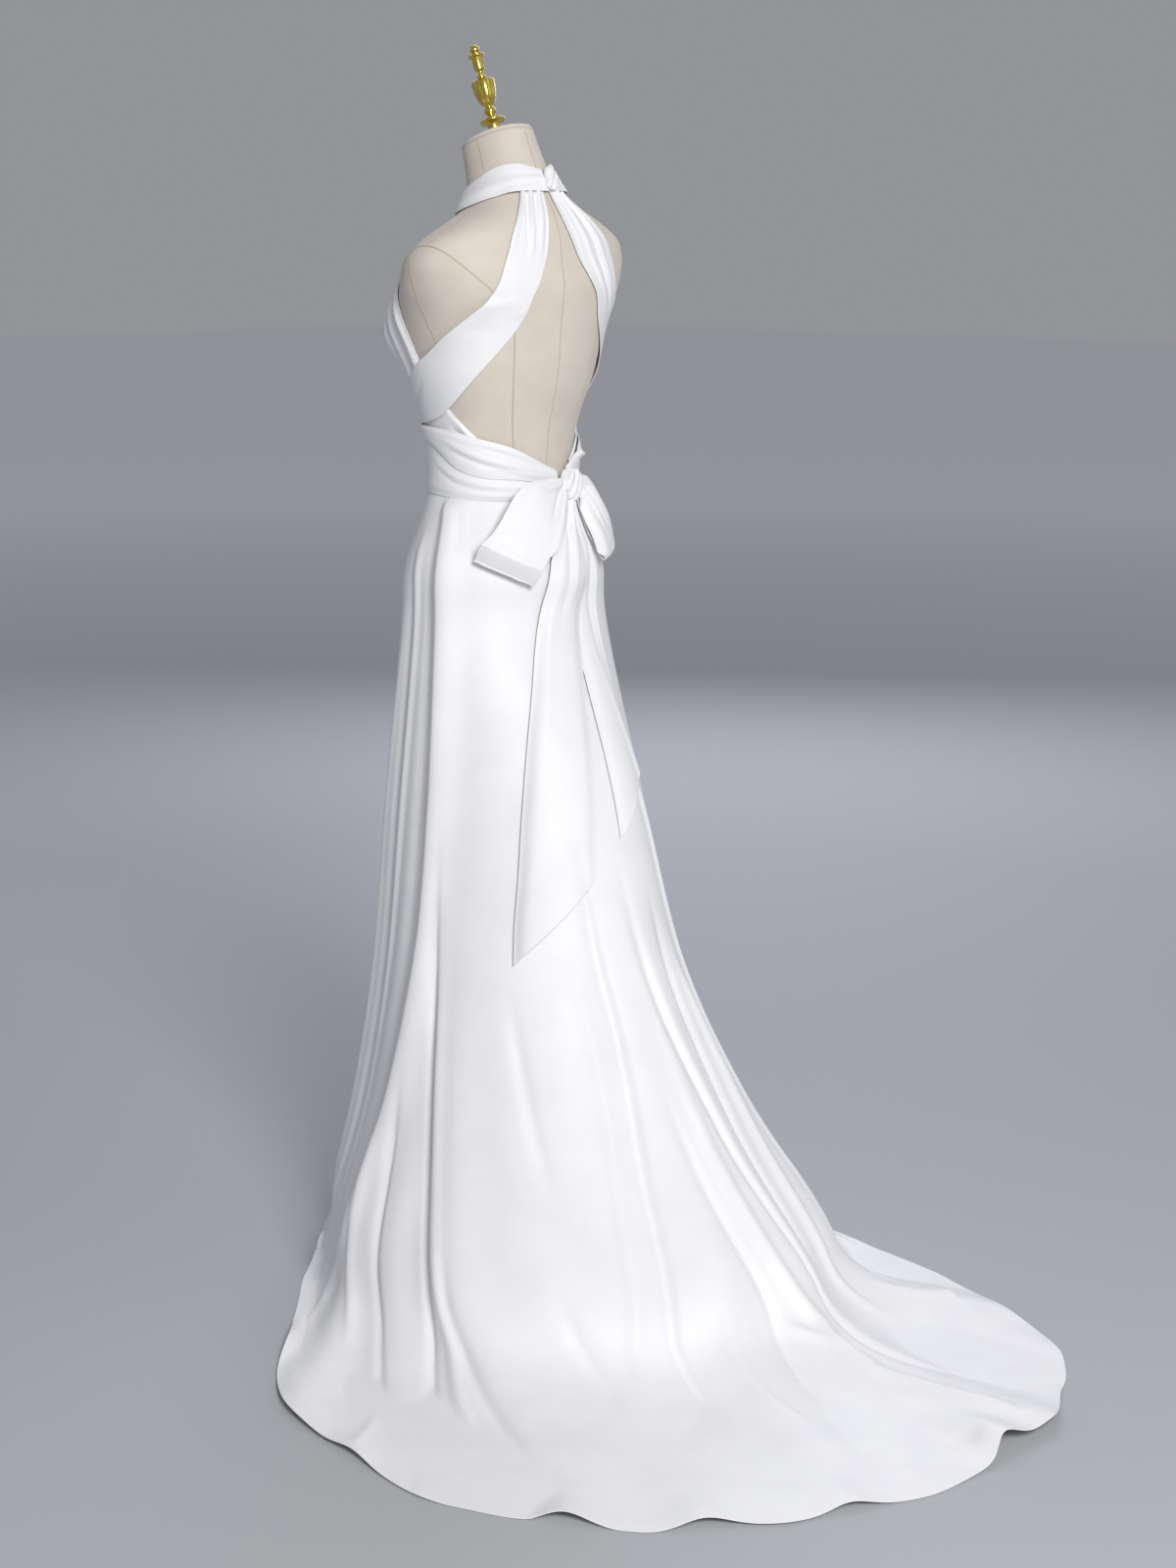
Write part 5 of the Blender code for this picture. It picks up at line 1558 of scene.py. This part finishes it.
SKIRT_CREASES: tuple[Crease, ...] = (
    # Left side: the edge between the shaded front panel and the back panel
    Crease(((96.5, 0.1), (101, 1.3), (103, 2.7), (105.5, 4.4), (104, 5.2), (100, 6.8), (96, 8.4),
            (99, 10.2)), 10.0, 19.0, (0.05, 0.2), -0.9),
    Crease(((91.5, 1.0), (94, 1.8), (95.5, 2.8), (97.5, 4.4), (95.5, 5.2), (91, 6.8), (87, 8.4),
            (90, 9.8)), -5.0, 16.0, (0.15, 0.2)),
    Crease(((99, 0.6), (101, 1.6), (103, 2.8), (105, 4.4), (104, 5.2), (101, 6.8), (98, 8.4)), 6.5, 40.0,
           (0.2, 0.3)),
    Crease(((80, 1.3), (81, 2.2), (81, 3.4), (80, 4.8), (75, 6.6), (70, 8.2)), -6.5, 30.0, (0.25, 0.3)),
    Crease(((112, 0.6), (113, 2.0), (114, 3.2), (116, 4.4)), -3.0, 30.0, (0.25, 0.3)),
    Crease(((66, 9.4), (66, 10.2), (66, 11.0)), -7.0, 26.0, (0.4, 0.0)),
    Crease(((79, 0.8), (81, 2.2), (82, 3.4), (81, 4.8), (77, 6.6), (72, 8.8)), 4.5, 8.0, (0.2, 0.3)),
    Crease(((74, 1.4), (76, 3.0), (75, 4.6), (71, 6.4), (66, 8.4)), -4.5, 7.0, (0.3, 0.3)),
    Crease(((65, 2.2), (66, 3.8), (64, 5.4), (59, 7.4), (53, 9.4)), 4.0, 9.0, (0.3, 0.3)),
    # Folds that sweep down from the knee on the left back panel
    Crease(((105, 5.4), (107, 6.3), (112, 7.4), (118, 8.8), (121, 9.6)), -6.0, 8.0, (0.3, 0.2), 0.4),
    Crease(((101, 5.8), (103, 6.8), (107, 7.8), (112, 9.0)), 4.5, 10.0, (0.3, 0.3)),
    Crease(((109.5, 4.0), (111, 4.8), (114, 5.4), (118, 6.2), (122, 7.0), (124.5, 8.2), (126.5, 9.0),
            (129.5, 9.8)), -9.0, 8.0, (0.25, 0.12), 0.5),
    Crease(((113, 4.4), (115, 5.2), (119, 6.0), (123, 6.8), (126.5, 7.7), (129, 8.8), (133.5, 9.9)), 7.0,
           12.0, (0.25, 0.12), -0.3),
    Crease(((124, 6.6), (127, 7.5), (132, 8.7), (137, 9.9)), -5.5, 9.0, (0.3, 0.15)),
    Crease(((125, 8.7), (126, 9.6), (127, 10.9)), -3.0, 6.0, (0.2, 0.0)),
    Crease(((120, 9.4), (121, 10.2), (121, 10.9)), 3.0, 10.0, (0.3, 0.1)),
    Crease(((135, 4.9), (139, 5.6), (143, 6.4)), -3.0, 11.0),
    Crease(((141, 6.8), (144, 7.8), (147, 8.9)), -4.5, 13.0, (0.4, 0.3)),
    # Soft folds under the tails
    Crease(((157, 4.0), (160, 4.8), (161, 5.3), (158, 6.2), (155, 7.4), (155.5, 8.2), (156, 9.1)), -8.0,
           9.0, (0.2, 0.12), 0.4),
    Crease(((152, 4.6), (155, 5.4), (152, 6.6), (150, 7.8), (150, 8.8)), 4.5, 13.0, (0.3, 0.2)),
    Crease(((163, 7.0), (161, 8.0), (161, 9.0), (162, 9.4)), 5.0, 12.0, (0.3, 0.1)),
    Crease(((167, 5.4), (168, 6.4), (169, 7.5), (167, 8.6), (166, 9.6)), -7.5, 9.0, (0.3, 0.12), 0.4),
    Crease(((169, 7.7), (172, 8.1), (174, 8.7), (174.5, 9.2)), 6.0, 7.0, (0.2, 0.2)),
    Crease(((173, 4.8), (171.5, 6.0), (172, 7.0), (174, 8.0), (173, 8.8), (174.5, 9.6), (177, 10.85)),
           9.5, 11.0, (0.25, 0.06), -0.3),
    Crease(((171.5, 4.2), (174.5, 5.0), (176.5, 5.7), (177, 6.4), (179, 7.4), (177.5, 8.5),
            (179, 9.4), (181, 10.4)), -9.0, 9.0, (0.2, 0.25), 0.4),
    Crease(((168, 9.9), (170, 10.4), (172, 10.8)), -6.0, 14.0, (0.3, 0.2)),
    # Tighter folds on the right side, in the shade
    Crease(((183, 4.4), (184, 5.4), (183, 6.4), (183, 7.6)), -7.0, 9.0, (0.25, 0.3)),
    Crease(((188, 4.6), (190, 5.4), (188, 6.6), (187, 8.0), (188, 9.2)), 6.0, 10.0, (0.25, 0.3)),
    Crease(((197, 4.2), (199, 5.6), (200, 6.8), (197, 8.2), (195, 9.4)), -9.5, 7.5, (0.25, 0.3)),
    Crease(((193, 3.0), (194, 4.0), (195, 5.2), (194, 6.6), (193, 8.0)), 5.0, 6.0, (0.3, 0.3)),
    Crease(((205, 5.0), (207, 6.0), (208, 7.2), (205, 8.6)), 6.0, 9.0, (0.25, 0.3)),
    Crease(((211, 5.2), (213, 6.2), (214, 7.4), (214, 8.8)), -7.5, 8.0, (0.25, 0.3)),
    Crease(((219, 5.0), (221, 6.4), (224, 8.0), (226, 9.6)), 5.5, 9.0, (0.25, 0.3)),
    Crease(((192, 8.4), (194, 9.4), (196.5, 10.2)), 8.0, 12.0, (0.4, 0.08)),
    Crease(((231, 4.6), (234, 6.4), (236, 8.6), (238, 10.2)), -6.0, 10.0, (0.3, 0.25)),
    Crease(((247, 5.4), (250, 7.2), (255, 9.6)), -5.0, 11.0, (0.3, 0.25)),
    # The front, which the photograph doesn't show
    Crease(((-88, 4.8), (-92, 6.8), (-94, 9.4)), -6.0, 12.0, (0.3, 0.2)),
    Crease(((-74, 4.2), (-77, 6.6), (-76, 10.4)), 5.5, 14.0, (0.3, 0.15)),
    Crease(((-56, 4.6), (-58, 7.0), (-60, 10.0)), -6.0, 12.0, (0.35, 0.2)),
    Crease(((-44, 5.4), (-44, 7.6), (-46, 10.4)), 4.5, 11.0, (0.35, 0.15)),
    Crease(((-32, 5.0), (-31, 7.4), (-32, 9.6)), -5.0, 12.0, (0.35, 0.25)),
    Crease(((-16, 5.8), (-13, 8.0), (-12, 10.4)), 4.0, 10.0, (0.35, 0.15)),
    Crease(((-2, 4.8), (1, 6.8), (0, 9.2)), -5.0, 13.0, (0.35, 0.3)),
    Crease(((13, 5.4), (14, 7.6), (12, 10.4)), 4.5, 10.0, (0.35, 0.15)),
    Crease(((37, 4.8), (38, 7.2), (40, 10.0)), -6.0, 12.0, (0.35, 0.2)),
    Crease(((50, 5.6), (51, 7.8), (50, 10.2)), 4.5, 12.0, (0.35, 0.2)),
    # Short ripples under the waist seam and drag lines over the hips
    Crease(((118, 0.15), (126, 0.42), (140, 0.40), (152, 0.22)), -1.6, 5.0),
    Crease(((121, 0.42), (134, 0.74), (150, 0.66)), 1.3, 6.0),
    Crease(((106, 0.25), (110, 0.9), (112, 1.8)), -1.2, 7.0),
    Crease(((-150, 0.2), (-138, 0.5), (-124, 0.3)), -1.4, 5.0),
    Crease(((-60, 0.4), (-30, 0.8), (0, 0.9)), -1.2, 8.0),
    Crease(((8, 0.9), (34, 0.7), (62, 0.4)), 1.1, 8.0),
    Crease(((200, 0.3), (206, 0.9), (212, 2.0)), -1.5, 7.0),
)


@dataclass(frozen=True)
class HemWave:
    """Place where the hem rises off the floor or draws in.

    Attributes:
        azimuth: its middle.
        spread: half width in degrees.
        rise: millimetres that the hem lifts.
        draw: millimetres that the hem draws in, below 0 where it spreads out.
    """

    azimuth: float
    spread: float
    rise: float
    draw: float


HEM_WAVES: tuple[HemWave, ...] = (
    HemWave(101, 3.0, 9, 10), HemWave(111, 3.5, 3, -8), HemWave(121, 2.6, 8, 8),
    HemWave(128, 3.0, 2, -10), HemWave(138.5, 2.4, 17, 14), HemWave(144, 2.8, 0, -8),
    HemWave(148, 2.2, 9, 9), HemWave(153, 2.2, 2, -7), HemWave(158, 2.0, 8, 9),
    HemWave(164, 2.6, 0, -6), HemWave(172.5, 1.8, 16, 17), HemWave(178, 2.0, 6, -8),
    HemWave(183, 2.0, 4, 7), HemWave(190, 2.2, 3, -6), HemWave(196, 2.0, 6, 8),
    HemWave(204, 2.6, 4, -6), HemWave(215, 4.0, 7, 6), HemWave(232, 5.0, 3, -5),
    HemWave(250, 5.0, 7, 6), HemWave(268, 5.0, 2, -5), HemWave(-72, 6.0, 6, 5),
    HemWave(-50, 6.0, 2, -4), HemWave(-26, 6.0, 7, 5), HemWave(0, 6.0, 3, -4),
    HemWave(26, 6.0, 7, 7), HemWave(50, 9.0, 4, 13),
)


@dataclass
class Skirt:
    """Front panel and the two back panels with the train."""

    surface: SkirtSurface
    satin: bpy.types.Material
    side_seam: float = 96.0
    rows: int = 190
    # The line down the skirt on which the rows are evenly spaced, and the steps that measure it
    line_azimuth: float = 150.0
    line_steps: int = 441

    def runs(self) -> np.ndarray:
        """Spaces the rows of the mesh evenly along the cloth.

        Returns:
            The run of each row.
        """
        fine = np.linspace(0, HEM_RUN, self.line_steps)
        line = self.surface.raw(np.full(fine.shape, self.line_azimuth), fine)
        near_grey = np.concatenate([[0], np.cumsum(length(np.diff(line, axis=0)))])
        return np.interp(np.linspace(0, near_grey[-1], self.rows), near_grey, fine)

    def build(self) -> None:
        """Builds the three panels, each drawn back a little from its seams."""
        for node, start, end, columns in (
                ("skirt_front", -self.side_seam, self.side_seam, 200),
                ("skirt_back_left", self.side_seam, 180.0, 220),
                ("skirt_back_right", 180.0, 360.0 - self.side_seam, 200)):
            azimuth, run = np.meshgrid(np.linspace(start, end, columns), self.runs())
            grid = self.surface.point(azimuth, run)
            for edge, inner in ((0, 1), (-1, -2)):
                grid[:, edge] += unit(grid[:, inner] - grid[:, edge]) * SEAM_HALF_GAP
            cloth_piece(node, grid, self.satin)


# The studio


@dataclass(frozen=True)
class Lamp:
    """One soft round lamp.

    Attributes:
        name: its name.
        azimuth: degrees round the form that it shines from.
        height: degrees above the floor.
        distance: metres from the point that it is aimed at.
        size: metres across.
        power: watts.
        colour: its colour as sRGB hex.
        aim: the point that it is aimed at.
    """

    name: str
    azimuth: float
    height: float
    distance: float
    size: float
    power: float
    colour: str
    aim: tuple[float, float, float] = (0.1, 0.25, 0.75)

    def build(self) -> None:
        """Hangs the lamp."""
        data = bpy.data.lights.new(self.name, "AREA")
        data.shape = "DISK"
        data.size = self.size
        data.energy = self.power
        data.color = linear(self.colour)[:3]
        turn, rise = math.radians(self.azimuth), math.radians(self.height)
        back = Vector((math.sin(turn) * math.cos(rise), -math.cos(turn) * math.cos(rise),
                       math.sin(rise)))
        made = bpy.data.objects.new(self.name, data)
        made.location = Vector(self.aim) + back * self.distance
        made.rotation_euler = (-back).to_track_quat("-Z", "Y").to_euler()
        bpy.context.scene.collection.objects.link(made)


@dataclass
class Studio:
    """Pale floor, soft lights and the camera at the photograph's place."""

    camera_place: tuple[float, float, float] = (2.722, 2.708, 1.5)
    # Degrees that it looks down, and that it is turned about the vertical
    camera_tilt: float = 11.91
    camera_turn: float = 133.0
    lens: float = 60.0
    sensor: float = 36.0
    view_reach: float = 200.0
    floor_size: float = 60.0
    sky: str = "#b6b8bd"
    sky_strength: float = 0.62
    lamps: tuple[Lamp, ...] = (
        Lamp("key", 150.0, 27.0, 4.6, 1.7, 150.0, "#fffefb"),
        Lamp("fill", 215.0, 24.0, 5.0, 2.4, 8.0, "#f8f9ff"),
        Lamp("front", -52.0, 25.0, 4.6, 2.6, 62.0, "#f2f4ff"),
    )

    def build(self) -> None:
        """Builds the floor, the lights and the camera."""
        self.build_floor()
        self.build_sky()
        for lamp in self.lamps:
            lamp.build()
        self.build_camera()

    def build_floor(self) -> None:
        """Builds the floor."""
        half = self.floor_size / 2
        grid = np.array([[(-half, half, 0), (half, half, 0)], [(-half, -half, 0), (half, -half, 0)]])
        grid_mesh("studio_floor", [grid.astype(float)], FloorPaint().build())

    def build_sky(self) -> None:
        """Builds the even light from all round."""
        world = bpy.data.worlds.new("studio")
        world.use_nodes = True
        background = world.node_tree.nodes["Background"]
        background.inputs["Color"].default_value = linear(self.sky)
        background.inputs["Strength"].default_value = self.sky_strength
        bpy.context.scene.world = world

    def build_camera(self) -> None:
        """Sets up the camera."""
        data = bpy.data.cameras.new("camera")
        data.sensor_fit = "VERTICAL"
        data.sensor_height = self.sensor
        data.lens = self.lens
        data.clip_end = self.view_reach
        made = bpy.data.objects.new("camera", data)
        made.location = self.camera_place
        made.rotation_euler = (math.radians(90 - self.camera_tilt), 0.0, math.radians(self.camera_turn))
        bpy.context.scene.collection.objects.link(made)
        bpy.context.scene.camera = made
        bpy.context.scene.view_settings.view_transform = "Standard"


def main() -> None:
    """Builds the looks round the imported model."""
    logging.basicConfig(level=logging.INFO, format="%(message)s")
    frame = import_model()
    Studio().build()
    satin = BridalSatin().build()
    cover = FormCover().build()
    thread = FormCover("cover_seam_thread", "#cabeb0", "#c1b4a5", 0.8, 30.0).build()
    brass = TurnedMetal("polished_brass", "#f0dc74", "#d6b94a", 0.2).build()
    steel = TurnedMetal("satin_steel", "#9c9ca0", "#86868b", 0.36).build()
    form = FormSurface()
    skirt = SkirtSurface(form, SKIRT_CREASES, HEM_WAVES)
    DressForm(form, cover, thread, brass).build()
    Stand(steel).build(frame["nodes"])
    HalterTop(form, satin).build()
    Sash(form, satin).build()
    Bow(DressSurface(form, skirt), satin).build()
    Skirt(skirt, satin).build()
    bpy.context.view_layer.update()


if __name__ == "__main__":
    main()
